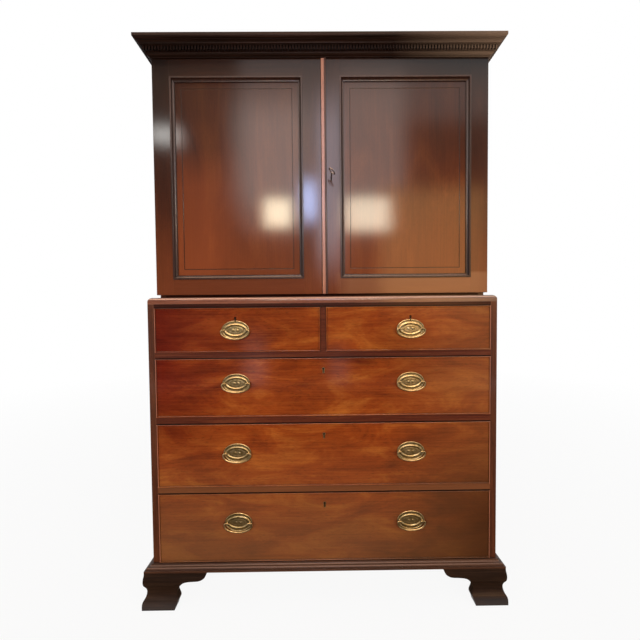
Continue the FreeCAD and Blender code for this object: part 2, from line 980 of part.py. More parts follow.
# The bail hangs along the plate's lower edge: a pin at each post, a corner, a side arc and one
# broad arc below, all in short straight lengths.  The broad arc's radius follows from the two
# tangents that it has to meet.
HALF_SPAN = "(bail_span / 2)"
SIDE_ACROSS = f"({HALF_SPAN} - bail_side_radius)"
BROAD_DROP = "(bail_drop - bail_corner)"
BROAD_RADIUS = (
    f"(({SIDE_ACROSS}^2 + {BROAD_DROP}^2 - bail_side_radius^2)"
    f" / (2 * ({BROAD_DROP} - bail_side_radius)))"
)
TURN_ANGLE = f"atan(({BROAD_RADIUS} - {BROAD_DROP}) / {SIDE_ACROSS})"
SIDE_CHORDS = 2
BROAD_CHORDS = 3
BAIL_SIDES = 6
PIN_END = "(post_spacing / 2 - post_head_radius - pivot_overhang)"
SHOULDER = "(post_spacing / 2 + post_head_radius + bail_shoulder_gap)"
# the right half of the bail's centre line, (across, down) from the pivot to the middle
half_bail = [(SHOULDER, "0"), (f"{HALF_SPAN} - bail_corner", "0"), (HALF_SPAN, "bail_corner")]
for step in range(1, SIDE_CHORDS + 1):
    angle = f"{TURN_ANGLE} * {step} / {SIDE_CHORDS}"
    half_bail.append(
        (
            f"{SIDE_ACROSS} + bail_side_radius * cos({angle})",
            f"bail_corner + bail_side_radius * sin({angle})",
        )
    )
for step in range(1, BROAD_CHORDS):
    angle = f"({TURN_ANGLE} + (90 deg - {TURN_ANGLE}) * {step} / {BROAD_CHORDS - 0.5})"
    half_bail.append(
        (
            f"{BROAD_RADIUS} * cos({angle})",
            f"bail_drop - {BROAD_RADIUS} * (1 - sin({angle}))",
        )
    )
bail = body("bail")
bail_path = body_sketch(bail, "bail_path", "XY", "pivot_height")
draw(
    bail_path,
    [(f"-({across})", f"-({down})") for across, down in half_bail]
    + [(across, f"-({down})") for across, down in reversed(half_bail)],
    closed=False,
)
bail_section = body_sketch(bail, "bail_section", "YZ", f"-{SHOULDER}")
draw(bail_section, oval_corners("bail_radius", "bail_radius", BAIL_SIDES, ("0", "pivot_height")))
grip = bail.newObject("PartDesign::AdditivePipe", "bail_grip")
grip.Profile = bail_section
grip.Spine = (bail_path, [])
grip.Transition = "Right corner"
doc.recompute()
pins = [
    rod(
        f"bail_pin_{hand}",
        "pivot_radius",
        f"{HALF_SPAN} - {PIN_END}",
        (start, "0", "pivot_height"),
        FreeCAD.Rotation(Y_AXIS, 90),
    )
    for hand, start in (("left", f"-{HALF_SPAN}"), ("right", PIN_END))
]
hanging_bail = fuse("hanging_bail", bail, *pins)

# ---------------------------------------------------------------------------------------- drawers

TAIL_PITCH = 75  # about how far apart a drawer's dovetails are


def dovetailed_side(name, x, floor, height):
    """A drawer side whose row of tails goes into the front."""
    low, tall = f"{floor} + slide_clearance", f"({height} - drawer_side_drop)"
    shoulder, end = "front + drawer_front_thickness", "front + drawer_length"
    count = max(2, round(number(height) / TAIL_PITCH))
    first = "(drawer_bottom_lift + drawer_bottom_thickness)"
    tails = []
    for index in range(count):
        middle = f"{low} + {first} + ({tall} - {first}) * {2 * index + 1} / {2 * count}"
        tails += [
            (shoulder, f"{middle} - tail_width / 2 + tail_splay"),
            (f"{shoulder} - tail_length", f"{middle} - tail_width / 2"),
            (f"{shoulder} - tail_length", f"{middle} + tail_width / 2"),
            (shoulder, f"{middle} + tail_width / 2 - tail_splay"),
        ]
    top = f"{low} + {tall}"
    corners = [(shoulder, low), (end, low), (end, top), (shoulder, top), *reversed(tails)]
    return prism(name, "YZ", corners, x, "drawer_side_thickness")


BEAD_BACK = "front + cockbead_depth"
NOSE = "front - cockbead_proud"
CHEEK = "front - cockbead_proud + cockbead_thickness * 0.3"


def bead_section(edge):
    """A bead's section, from one side of it to the other: (depth, place)."""
    return [
        (CHEEK, edge),
        (BEAD_BACK, edge),
        (BEAD_BACK, f"{edge} + cockbead_thickness"),
        (CHEEK, f"{edge} + cockbead_thickness"),
        (NOSE, f"{edge} + cockbead_thickness * 0.7"),
        (NOSE, f"{edge} + cockbead_thickness * 0.3"),
    ]


def cockbeads(name, left, width, floor, height):
    """Thin beads with eased noses, let into the four edges of a drawer's front."""
    beads = []
    for edge, low in (("lower", floor), ("upper", f"{floor} + {height} - cockbead_thickness")):
        beads.append(prism(f"{name}_{edge}_bead", "YZ", bead_section(low), left, width))
    start, length = f"{floor} + cockbead_thickness", f"{height} - 2 * cockbead_thickness"
    for edge, low in (("left", left), ("right", f"{left} + {width} - cockbead_thickness")):
        corners = [(place, depth) for depth, place in bead_section(low)]
        beads.append(prism(f"{name}_{edge}_bead", "XY", corners, start, length))
    return beads


def keyhole_slot(name, x, z, start, depth):
    """The slot below a keyhole's eye, from a plane towards the back."""
    return board(
        name,
        (f"{x} - keyhole_slot / 2", start, f"{z} + keyhole_radius - keyhole_length"),
        ("keyhole_slot", depth, "keyhole_length - keyhole_radius"),
    )


def keyhole(name, x, z, start, depth):
    """A keyhole's space: a round hole over a slot, from a plane towards the back."""
    eye = rod(f"{name}_eye", "keyhole_radius", depth, (x, f"{start} + {depth}", z), FACING_OUT)
    return fuse(name, eye, keyhole_slot(f"{name}_slot", x, z, start, depth))


for drawer, (row, left, width, pulls) in DRAWERS.items():
    floor, height = ROWS[row]
    low_x, front_width = f"{left} + drawer_gap", f"{width} - 2 * drawer_gap"
    low_z, front_height = f"{floor} + drawer_gap", f"{height} - 2 * drawer_gap"
    middle = f"({left} + ({width}) / 2)"
    beads = cockbeads(drawer, low_x, front_width, low_z, front_height)

    bottom = board(
        f"{drawer}_bottom",
        (
            f"{low_x} + drawer_side_thickness - drawer_groove",
            "front + drawer_front_thickness - drawer_groove",
            f"{floor} + drawer_bottom_lift",
        ),
        (
            f"{front_width} - 2 * drawer_side_thickness + 2 * drawer_groove",
            "drawer_length - drawer_front_thickness + drawer_groove",
            "drawer_bottom_thickness",
        ),
    )
    blank_side = dovetailed_side(f"{drawer}_side_blank", low_x, floor, height)
    left_side = cut(f"{drawer}_left_side", blank_side, bottom)
    right_side = mirrored(f"{drawer}_right_side", left_side, X_AXIS, (middle, "0", "0"))
    back_board = board(
        f"{drawer}_back",
        (
            f"{low_x} + drawer_side_thickness",
            "front + drawer_length - drawer_side_thickness",
            f"{floor} + drawer_bottom_lift + drawer_bottom_thickness",
        ),
        (
            f"{front_width} - 2 * drawer_side_thickness",
            "drawer_side_thickness",
            f"{height} - drawer_side_drop - drawer_bottom_lift - drawer_bottom_thickness + slide_clearance",
        ),
    )
    node(f"drawer_{drawer}_box", left_side, right_side, back_board, bottom)

    key_z = f"{floor} + {height} - lock_drop"
    key_x = middle if len(pulls) == 2 else pulls[0]
    lock = board(
        f"{drawer}_lock_body",
        (
            f"{key_x} - lock_body_width / 2",
            "front + drawer_front_thickness - lock_body_depth",
            f"{key_z} - lock_body_height / 2",
        ),
        ("lock_body_width", "lock_body_depth", "lock_body_height"),
    )
    pull_z = f"{floor} + {height} - {row}_pull_drop"
    hole = keyhole(
        f"{drawer}_keyhole", key_x, key_z, "front", "drawer_front_thickness - lock_body_depth"
    )
    notch = keyhole_slot(
        f"{drawer}_plate_notch", key_x, key_z, "front - plate_rim_height", "plate_rim_height"
    )
    trims = [lock]
    tools = [left_side, right_side, bottom, lock, hole, *beads]
    for index, pull_x in enumerate(pulls):
        at = (pull_x, "front", pull_z)
        hand = "" if len(pulls) == 1 else ("_left", "_right")[index]
        plate = copy(f"{drawer}_plate{hand}", pull_plate, at, FACING_OUT)
        trims.append(cut(f"{drawer}_notched_plate", plate, notch) if len(pulls) == 1 else plate)
        node(f"bail_{drawer}{hand}", copy(f"{drawer}_bail{hand}", hanging_bail, at, FACING_OUT))
    blank_front = board(
        f"{drawer}_front_blank",
        (low_x, "front", low_z),
        (front_width, "drawer_front_thickness", front_height),
    )
    node(f"drawer_{drawer}_front", cut(f"{drawer}_front_board", blank_front, *tools), *beads)
    node(f"drawer_{drawer}_brasses", *trims)

# ---------------------------------------------------------------------------------- butt hinges

KNUCKLES = 3
HINGE_FLOORS = {
    "low": "door_floor + hinge_inset",
    "high": "door_top - hinge_inset - leaf_height",
}


def hinge_leaf(name, floor, on_case):
    """One leaf with its knuckles, for the right-hand door.  The case's leaf has the outer two
    knuckles and carries the pin; the door's leaf has the middle one and turns on it."""
    y = "hinge_line + leaf_gap / 2" if on_case else "hinge_line - leaf_gap / 2 - leaf_thickness"
    plate_edge = "half_upper - knuckle_radius - knuckle_clearance"
    plate_width = "leaf_width - knuckle_radius - knuckle_clearance"
    pieces = [
        board(
            f"{name}_plate",
            ("half_upper - leaf_width", y, floor),
            (plate_width, "leaf_thickness", "leaf_height"),
        )
    ]
    for index in range(0 if on_case else 1, KNUCKLES, 2):
        low = f"{floor} + leaf_height * {index} / {KNUCKLES} + knuckle_end_gap / 2"
        tall = f"leaf_height / {KNUCKLES} - knuckle_end_gap"
        reach = "knuckle_radius + knuckle_clearance - hinge_pin_radius - 2 * hinge_pin_clearance"
        pieces.append(
            board(f"{name}_tab_{index}", (plate_edge, y, low), (reach, "leaf_thickness", tall))
        )
        pieces.append(
            rod(f"{name}_knuckle_{index}", "knuckle_radius", tall, ("half_upper", "hinge_line", low))
        )
    if on_case:
        pin = rod(f"{name}_pin", "hinge_pin_radius", "leaf_height", ("half_upper", "hinge_line", floor))
        return fuse(name, *pieces, pin)
    pin_room = bore(
        f"{name}_bore",
        "hinge_pin_radius + hinge_pin_clearance",
        "leaf_height",
        ("half_upper", "hinge_line", floor),
    )
    return cut(name, fuse(f"{name}_blank", *pieces), pin_room)


case_leaves = group(
    "right_case_leaves",
    *(hinge_leaf(f"case_leaf_{level}", floor, True) for level, floor in HINGE_FLOORS.items()),
)
door_leaves = group(
    "door_right_hinge_leaves",
    *(hinge_leaf(f"door_leaf_{level}", floor, False) for level, floor in HINGE_FLOORS.items()),
)
knuckle_rooms = [
    board(
        f"knuckle_room_{level}",
        (
            "half_upper - knuckle_radius - knuckle_clearance",
            "hinge_line - knuckle_radius - knuckle_clearance",
            floor,
        ),
        (
            "2 * (knuckle_radius + knuckle_clearance)",
            "2 * (knuckle_radius + knuckle_clearance)",
            "leaf_height",
        ),
    )
    for level, floor in HINGE_FLOORS.items()
]
node("cupboard_hinge_leaves", case_leaves, mirrored("left_case_leaves", case_leaves))
node("door_right_hinge_leaves", door_leaves)
node("door_left_hinge_leaves", mirrored("door_left_hinge_leaves", door_leaves))

# ---------------------------------------------------------------------------------- cupboard case

upper_back = node(
    "upper_back",
    *plank_row(
        "upper_back_board",
        UPPER_BACK_BOARDS,
        0,
        ("-half_upper + upper_wall - rebate_width", "inner_back", "chest_top"),
        ("upper_width - 2 * upper_wall + 2 * rebate_width", "back_thickness", "cupboard_top - chest_top"),
    ),
)
upper_side = cut(
    "upper_side_right",
    board(
        "upper_side_board",
        ("half_upper - upper_wall", "cupboard_front", "chest_top"),
        ("upper_wall", "back - cupboard_front", "cupboard_top - chest_top"),
    ),
    upper_back,
    case_leaves,
    *knuckle_rooms,
)
node("upper_side_right", upper_side)
node("upper_side_left", mirrored("upper_side_left", upper_side))

INSIDE_X = "-half_upper + upper_wall"
INSIDE_WIDTH = "upper_width - 2 * upper_wall"
INSIDE_DEPTH = "inner_back - cupboard_front"
node(
    "upper_bottom",
    board(
        "upper_bottom",
        (INSIDE_X, "cupboard_front", "cupboard_floor - upper_board"),
        (INSIDE_WIDTH, INSIDE_DEPTH, "upper_board"),
    ),
)
ceiling = board(
    "upper_ceiling",
    (INSIDE_X, "cupboard_front", "cupboard_ceiling"),
    (INSIDE_WIDTH, INSIDE_DEPTH, "upper_board"),
)
FRAME_HEIGHT = "cornice_height - dust_board"
cornice_frame = [
    board(
        "cornice_frame_front",
        ("-half_upper", "door_front", "cupboard_top"),
        ("upper_width", "cornice_board", FRAME_HEIGHT),
    ),
    board(
        "cornice_frame_back",
        ("-half_upper", "back - cornice_board", "cupboard_top"),
        ("upper_width", "cornice_board", FRAME_HEIGHT),
    ),
]
frame_side = board(
    "cornice_frame_left",
    ("-half_upper", "door_front + cornice_board", "cupboard_top"),
    ("cornice_board", "back - door_front - 2 * cornice_board", FRAME_HEIGHT),
)
dust_board = board(
    "cornice_dust_board",
    ("-half_upper", "door_front", "press_top - dust_board"),
    ("upper_width", "back - door_front", "dust_board"),
)
node(
    "upper_top",
    ceiling,
    *cornice_frame,
    frame_side,
    mirrored("cornice_frame_right", frame_side),
    dust_board,
)

# ---------------------------------------------------------------------------------- clothes trays

TRAYS = ("lowest", "second", "third", "highest")
tray_runners = []
for index, tray in enumerate(TRAYS):
    shelf_z = f"cupboard_floor + tray_pitch * {index}"
    runner = board(
        f"{tray}_tray_runner",
        (INSIDE_X, "cupboard_front + tray_runner_setback", shelf_z),
        ("tray_runner_width", "inner_back - cupboard_front - tray_runner_setback", "tray_runner_height"),
    )
    tray_runners += [runner, mirrored(f"{tray}_tray_runner_right", runner)]
    tray_x = "-tray_width / 2"
    tray_z = f"{shelf_z} + tray_runner_height + slide_clearance"
    scoop = "tray_front_height - tray_scoop"
    tray_face = body(f"{tray}_tray_front", (tray_x, "tray_front + tray_wall", tray_z))
    face_outline = body_sketch(tray_face, f"{tray}_tray_front_outline", "XZ")
    draw(
        face_outline,
        [
            ("0", "0"),
            ("tray_width", "0"),
            ("tray_width", "tray_front_height"),
            ("tray_width - tray_scoop_margin", "tray_front_height"),
            ("tray_width - tray_scoop_margin - tray_scoop", scoop),
            ("tray_scoop_margin + tray_scoop", scoop),
            ("tray_scoop_margin", "tray_front_height"),
            ("0", "tray_front_height"),
        ],
    )
    pad = tray_face.newObject("PartDesign::Pad", f"{tray}_tray_front_pad")
    pad.Profile = face_outline
    bind(pad, Length="tray_wall")
    tray_side = board(
        f"{tray}_tray_side",
        (tray_x, "tray_front + tray_wall", tray_z),
        ("tray_wall", "tray_depth - 2 * tray_wall", "tray_height"),
    )
    node(
        f"clothes_tray_{tray}",
        tray_face,
        tray_side,
        mirrored(f"{tray}_tray_side_right", tray_side),
        board(
            f"{tray}_tray_back",
            (tray_x, "tray_front + tray_depth - tray_wall", tray_z),
            ("tray_width", "tray_wall", "tray_height"),
        ),
        board(
            f"{tray}_tray_bottom",
            (f"{tray_x} + tray_wall", "tray_front + tray_wall", tray_z),
            ("tray_width - 2 * tray_wall", "tray_depth - 2 * tray_wall", "tray_bottom"),
        ),
    )
node("tray_runners", *tray_runners)

# ------------------------------------------------------------------------------------------ doors

OPENING_WIDTH = "panel_right - panel_left"
OPENING_HEIGHT = "panel_top - panel_floor"


def door_board(name, x, z, width, height):
    return board(name, (x, "door_front", z), (width, "door_thickness", height))


def rail(name, z, height):
    """A rail with a tenon at each end."""
    face = door_board(f"{name}_face", "panel_left", z, OPENING_WIDTH, height)
    tenon = board(
        f"{name}_tenon",
        (
            "panel_left - tenon_length",
            "door_front + (door_thickness - tenon_thickness) / 2",
            f"{z} + tenon_shoulder",
        ),
        (
            f"{OPENING_WIDTH} + 2 * tenon_length",
            "tenon_thickness",
            f"{height} - 2 * tenon_shoulder",
        ),
    )
    return fuse(name, face, tenon)


def fielded_panel(name):
    """A door's panel, with a sunk line drawn round it as a margin."""
    panel = body(
        name,
        ("panel_left - panel_groove + panel_fit", "panel_front", "panel_floor - panel_groove + panel_fit"),
    )
    tongue = "(panel_groove - panel_fit)"
    width, height = f"({OPENING_WIDTH} + 2 * {tongue})", f"({OPENING_HEIGHT} + 2 * {tongue})"
    outline = body_sketch(panel, f"{name}_outline", "XZ")
    draw(outline, [("0", "0"), (width, "0"), (width, height), ("0", height)])
    pad = panel.newObject("PartDesign::Pad", f"{name}_pad")
    pad.Profile = outline
    pad.Reversed = True
    bind(pad, Length="panel_thickness")
    line = body_sketch(panel, f"{name}_margin", "XZ")
    for inset in (
        f"({tongue} + moulding_width + margin_inset)",
        f"({tongue} + moulding_width + margin_inset + margin_line)",
    ):
        right, top = f"{width} - {inset}", f"{height} - {inset}"
        draw(line, [(inset, inset), (right, inset), (right, top), (inset, top)])
    pocket = panel.newObject("PartDesign::Pocket", f"{name}_line")
    pocket.Profile = line
    bind(pocket, Length="margin_depth")
    return panel


# across the moulding from the frame towards the panel's middle, and up from the panel
PANEL_PROFILE = [
    ("0", "0"),
    ("moulding_width", "0"),
    ("moulding_width", "moulding_lip"),
    ("moulding_width - moulding_lip_width", "moulding_lip", "right", "moulding_hollow"),
    ("moulding_width - moulding_lip_width - moulding_hollow", "moulding_lip + moulding_hollow"),
    ("moulding_crown", "panel_recess + moulding_proud"),
    ("0", "panel_recess + moulding_proud"),
]


def panel_moulding(name):
    """Four mitred lengths of moulding round a panel, against the frame."""
    low_run = prism(
        f"{name}_low_run",
        "YZ",
        [(f"panel_front - ({up})", f"panel_floor + {out}", *arc) for out, up, *arc in PANEL_PROFILE],
        "panel_left",
        OPENING_WIDTH,
    )
    low_plan = prism(
        f"{name}_low_plan",
        "XZ",
        [
            ("panel_left", "panel_floor"),
            ("panel_right", "panel_floor"),
            ("panel_right - moulding_width", "panel_floor + moulding_width"),
            ("panel_left + moulding_width", "panel_floor + moulding_width"),
        ],
        "front",
        "lower_depth",
    )
    side_run = prism(
        f"{name}_side_run",
        "XY",
        [
            (f"panel_left + {out}", f"panel_front - ({up})", *flipped(arc))
            for out, up, *arc in PANEL_PROFILE
        ],
        "panel_floor",
        OPENING_HEIGHT,
    )
    side_plan = prism(
        f"{name}_side_plan",
        "XZ",
        [
            ("panel_left", "panel_floor"),
            ("panel_left + moulding_width", "panel_floor + moulding_width"),
            ("panel_left + moulding_width", "panel_top - moulding_width"),
            ("panel_left", "panel_top"),
        ],
        "front",
        "lower_depth",
    )
    low = common(f"{name}_low", low_run, low_plan)
    side = common(f"{name}_side", side_run, side_plan)
    high = mirrored(f"{name}_high", low, Z_AXIS, ("0", "0", "(panel_floor + panel_top) / 2"))
    far = mirrored(f"{name}_far", side, X_AXIS, ("(panel_left + panel_right) / 2", "0", "0"))
    return group(name, low, high, side, far)


rails = [
    rail("door_top_rail", "panel_top", "top_rail"),
    rail("door_bottom_rail", "door_floor", "bottom_rail"),
]
panel = fielded_panel("door_panel")
groove = board(
    "panel_groove_room",
    ("panel_left - panel_groove", "panel_front", "panel_floor - panel_groove"),
    (f"{OPENING_WIDTH} + 2 * panel_groove", "panel_thickness", f"{OPENING_HEIGHT} + 2 * panel_groove"),
)
grooved_rails = [cut(f"{piece.Name}_grooved", piece, groove) for piece in rails]
outer_stile = cut(
    "door_outer_stile",
    door_board("outer_stile_board", "panel_right", "door_floor", "outer_stile", "door_height"),
    *rails,
    groove,
    door_leaves,
    *knuckle_rooms,
)
meeting_stile = cut(
    "door_meeting_stile",
    door_board("meeting_stile_board", "meeting_edge", "door_floor", "meeting_stile", "door_height"),
    *rails,
    groove,
)
mouldings = panel_moulding("door_panel_moulding")

# the lock is let into the back of the right door's meeting stile, and its bolt slides to the left
LOCK_FLOOR = "door_middle - door_lock_height / 2"
lock_blank = board(
    "door_lock_blank",
    ("meeting_edge", "lock_front", LOCK_FLOOR),
    ("door_lock_width", "door_lock_depth", "door_lock_height"),
)
lock_room = board(
    "door_lock_room",
    ("meeting_edge + door_lock_wall", "lock_front + door_lock_wall", f"{LOCK_FLOOR} + door_lock_wall"),
    (
        "door_lock_width - 2 * door_lock_wall",
        "door_lock_depth - 2 * door_lock_wall",
        "door_lock_height - 2 * door_lock_wall",
    ),
)
BOLT_FLOOR = "door_middle - bolt_height / 2 - bolt_drop"
bolt = board(
    "lock_bolt", ("meeting_edge", "bolt_front", BOLT_FLOOR), ("bolt_length", "bolt_thickness", "bolt_height")
)


def bolt_room(name, x, length, clearance):
    """The space round the bolt, with a clearance on its four sides."""
    return board(
        name,
        (x, f"bolt_front - {clearance}", f"{BOLT_FLOOR} - {clearance}"),
        (length, f"bolt_thickness + 2 * {clearance}", f"bolt_height + 2 * {clearance}"),
    )


door_keyhole = keyhole(
    "door_keyhole", "key_place", "door_middle", "door_front", "door_thickness - door_lock_depth"
)
plate_keyhole = keyhole("lock_plate_keyhole", "key_place", "door_middle", "lock_front", "door_lock_wall")
node(
    "door_lock_case",
    cut(
        "door_lock_case",
        lock_blank,
        lock_room,
        bolt_room("bolt_window", "meeting_edge", "door_lock_wall", "bolt_clearance"),
        plate_keyhole,
    ),
)
node("lock_bolt", bolt)
node(
    "door_right_frame",
    outer_stile,
    cut("right_meeting_stile", meeting_stile, lock_blank, door_keyhole),
    *grooved_rails,
)
left_rails = [mirrored(f"left_{piece.Name}", piece) for piece in grooved_rails]
node(
    "door_left_frame",
    mirrored("left_outer_stile", outer_stile),
    cut(
        "left_meeting_stile",
        mirrored("left_meeting_blank", meeting_stile),
        bolt_room("bolt_mortise", "-meeting_edge - mortise_depth", "mortise_depth", "mortise_clearance"),
    ),
    *left_rails,
)
node("door_right_panel", panel)
node("door_left_panel", mirrored("door_left_panel", panel))
node("door_right_panel_moulding", mouldings)
node("door_left_panel_moulding", mirrored("door_left_panel_moulding", mouldings))

node(
    "door_right_astragal",
    prism(
        "door_right_astragal",
        "XY",
        [
            ("meeting_edge", "door_front"),
            ("meeting_edge", "door_front - astragal_base"),
            ("meeting_edge + astragal_flat", "door_front - astragal_base", "left", "bead_radius"),
            ("meeting_edge + astragal_width", "door_front - astragal_base"),
            ("meeting_edge + astragal_width", "door_front"),
        ],
        "door_floor",
        "door_height",
    ),
)

# ---------------------------------------------------------------------------------------- the key

# The key's own +Z is along its bit when it is upright; its shank runs to the back from the bow.
key = body("key", ("key_place", "door_front", "door_middle"))
key.Placement.Rotation = FreeCAD.Rotation(Y_AXIS, 1)
key.setExpression("Placement.Rotation.Angle", formula("key_tilt * 1 deg"))
SHANK_END = "(bit_front + bit_width - door_front)"
SHANK_START = "(bow_length - bow_wire / 2 - key_reach)"
COLLAR = f"({SHANK_START} + bow_wire)"
for name, radius, start, length in (
    ("key_shank", "key_shank_radius", SHANK_START, f"{SHANK_END} - {SHANK_START}"),
    ("key_collar", "key_collar_radius", COLLAR, "key_collar_width"),
):
    outline = body_sketch(key, f"{name}_outline", "XZ", f"-{start}")
    draw(outline, oval_corners(radius, radius, FACETS))
    pad = key.newObject("PartDesign::Pad", name)
    pad.Profile = outline
    pad.Reversed = True
    bind(pad, Length=length)
bit_outline = body_sketch(key, "bit_outline", "YZ", "-bit_thickness / 2")
draw(
    bit_outline,
    [
        (f"{SHANK_END} - bit_width", "0"),
        (f"{SHANK_END} - bit_width", "-bit_length"),
        (SHANK_END, "-bit_length"),
        (SHANK_END, "0"),
    ],
)
bit = key.newObject("PartDesign::Pad", "key_bit")
bit.Profile = bit_outline
bind(bit, Length="bit_thickness")
BOW_SIDES = 16
bow_outline = body_sketch(key, "bow_outline", "YZ", "-bow_thickness / 2")
for inset in ("0", "bow_wire"):
    draw(
        bow_outline,
        oval_corners(
            f"(bow_length / 2 - {inset})",
            f"(bow_width / 2 - {inset})",
            BOW_SIDES,
            ("bow_length / 2 - key_reach", "0"),
        ),
    )
bow = key.newObject("PartDesign::Pad", "key_bow")
bow.Profile = bow_outline
bind(bow, Length="bow_thickness")
node("door_key", key)

# --------------------------------------------------------------------------------------- hand out

doc.recompute()
faults = [
    f"{thing.Label}: {', '.join(thing.State)}"
    for thing in doc.Objects
    if {"Invalid", "Error"} & set(thing.State)
]
for part in nodes:
    shape = Part.getShape(part)
    if shape.isNull() or not shape.isValid() or not shape.Solids:
        faults.append(f"{part.Label}: no valid solid")
if faults:
    raise RuntimeError("; ".join(faults))

os.makedirs("parts", exist_ok=True)
for part in nodes:
    Part.getShape(part).exportStep(f"parts/{part.Label}.step")
print(len(nodes), "sub-parts")
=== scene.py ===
"""Linen press: the looks round its CAD frame.

Metres in the CAD's frame: +X to the right, +Y to the back, +Z up, origin on the floor.
"""

import json
import math

import bmesh
import bpy
import numpy as np
from mathutils import Matrix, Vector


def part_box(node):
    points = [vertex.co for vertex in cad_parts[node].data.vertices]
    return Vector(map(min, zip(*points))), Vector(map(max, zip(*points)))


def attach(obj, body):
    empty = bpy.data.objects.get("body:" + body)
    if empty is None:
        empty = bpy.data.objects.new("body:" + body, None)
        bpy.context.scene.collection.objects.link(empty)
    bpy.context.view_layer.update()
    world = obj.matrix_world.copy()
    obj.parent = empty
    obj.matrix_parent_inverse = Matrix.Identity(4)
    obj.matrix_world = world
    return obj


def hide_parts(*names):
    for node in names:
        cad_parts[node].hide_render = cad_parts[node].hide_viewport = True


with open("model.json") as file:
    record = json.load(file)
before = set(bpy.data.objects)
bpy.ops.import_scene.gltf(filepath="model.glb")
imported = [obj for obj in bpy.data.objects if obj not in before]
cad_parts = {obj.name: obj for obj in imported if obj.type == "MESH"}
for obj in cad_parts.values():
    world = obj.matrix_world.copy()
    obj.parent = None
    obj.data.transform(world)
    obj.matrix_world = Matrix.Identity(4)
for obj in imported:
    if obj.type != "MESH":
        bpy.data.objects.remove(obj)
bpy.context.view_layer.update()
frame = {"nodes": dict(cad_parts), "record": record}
nodes = frame["nodes"]

# --------------------------------------------------------------- places that the CAD frame settles

MM = 0.001
FRONT = -265.5  # the plane of the drawer fronts
BACK = 294.5  # the plane of the case's back
HALF = 610  # half the chest's width
DOOR_FRONT = -232.5  # the plane of the doors' frames
DOOR_MIDDLE = 1510.5  # the height of the door's keyhole
PANEL_LEFT, PANEL_RIGHT = 65.8, 533.5  # a door's panel, across from the middle of the press
LINE_MIDDLE, LINE_HALF = (299.65, 1508.5), (196.85, 319)  # the dark line round its field
KEY_X = 34.6
PULL_X = 306  # a pull's middle, from the middle of the press
PIVOT = 9  # a bail's pivot, in front of the drawer front
POST_X = 39.5  # a post, from its pull's middle
# each row of drawers: the top of its opening, and how far under it its keyholes and pulls are
ROW_TOPS = {"top": 1050, "second": 872, "third": 641, "bottom": 393}
LOCK_DROP = 39
PULL_DROPS = {"top": 79, "second": 87, "third": 103, "bottom": 104}
FRONT_HALF = round(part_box("drawer_second_front")[1][0] / MM, 2)  # half a long drawer front
# drawer: its row, the middle of its lock, and the places of its pulls
DRAWERS = {
    "top_left": ("top", -PULL_X, {"": -PULL_X}),
    "top_right": ("top", PULL_X, {"": PULL_X}),
    "second": ("second", 0, {"_left": -PULL_X, "_right": PULL_X}),
    "third": ("third", 0, {"_left": -PULL_X, "_right": PULL_X}),
    "bottom": ("bottom", 0, {"_left": -PULL_X, "_right": PULL_X}),
}

# ------------------------------------------------------------------------------------ mesh helpers


def grid_faces(rows, columns, closed_rows=False, closed_columns=False):
    """Quads between neighbours of a rows x columns grid; a closed way joins its last to its first."""
    i = np.arange(rows if closed_rows else rows - 1)[:, None]
    j = np.arange(columns if closed_columns else columns - 1)[None, :]
    i2, j2 = (i + 1) % rows, (j + 1) % columns
    corners = (i * columns + j, i2 * columns + j, i2 * columns + j2, i * columns + j2)
    return np.stack(np.broadcast_arrays(*corners), -1).reshape(-1, 4)


def make_piece(name, parts, body, material, smooth=40):
    """One object from (points in mm, quads) parts; it rides on a body and wears a material.  smooth is
    the largest angle, in degrees, between faces that shade as one."""
    points, quads, first = [], [], 0
    for xyz, faces in parts:
        points.append(xyz)
        quads.append(faces + first)
        first += len(xyz)
    mesh = bpy.data.meshes.new(name)
    mesh.from_pydata((np.concatenate(points) * MM).tolist(), [], np.concatenate(quads).tolist())
    merged = bmesh.new()
    merged.from_mesh(mesh)
    bmesh.ops.remove_doubles(merged, verts=merged.verts[:], dist=1e-7)  # the points that meet in a pole
    merged.to_mesh(mesh)
    merged.free()
    mesh.shade_smooth()
    mesh.set_sharp_from_angle(angle=math.radians(smooth))
    piece = bpy.data.objects.new(name, mesh)
    bpy.context.scene.collection.objects.link(piece)
    mesh.materials.append(material)
    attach(piece, body)
    return piece


def smooth_line(values, count):
    """Count points along a soft curve through the given rows (Catmull-Rom)."""
    rows = np.asarray(values, float)
    padded = np.vstack([2 * rows[0] - rows[1], rows, 2 * rows[-1] - rows[-2]])
    t = np.linspace(0, len(rows) - 1, count)
    k = np.minimum(t.astype(int), len(rows) - 2)
    f = (t - k)[:, None]
    a, b, c, d = (padded[k + step] for step in range(4))
    cubic = (c - a) * f + (2 * a - 5 * b + 4 * c - d) * f**2 + (3 * b - a - 3 * c + d) * f**3
    return b + cubic / 2


def turned(profile, centre, axis, sides=24):
    """A turned piece: each (radius, distance) of the profile goes round the axis from the centre."""
    profile = np.asarray(profile, float)
    axis = np.asarray(axis, float) / np.linalg.norm(axis)
    across = np.cross(axis, (0.0, 0.0, 1.0) if abs(axis[2]) < 0.9 else (1.0, 0.0, 0.0))
    across /= np.linalg.norm(across)
    up = np.cross(axis, across)
    turn = np.linspace(0, 2 * np.pi, sides, endpoint=False)[None, :, None]
    ring = np.cos(turn) * across + np.sin(turn) * up
    points = np.asarray(centre) + profile[:, 1, None, None] * axis + profile[:, 0, None, None] * ring
    return points.reshape(-1, 3), grid_faces(len(profile), sides, closed_columns=True)[:, ::-1]


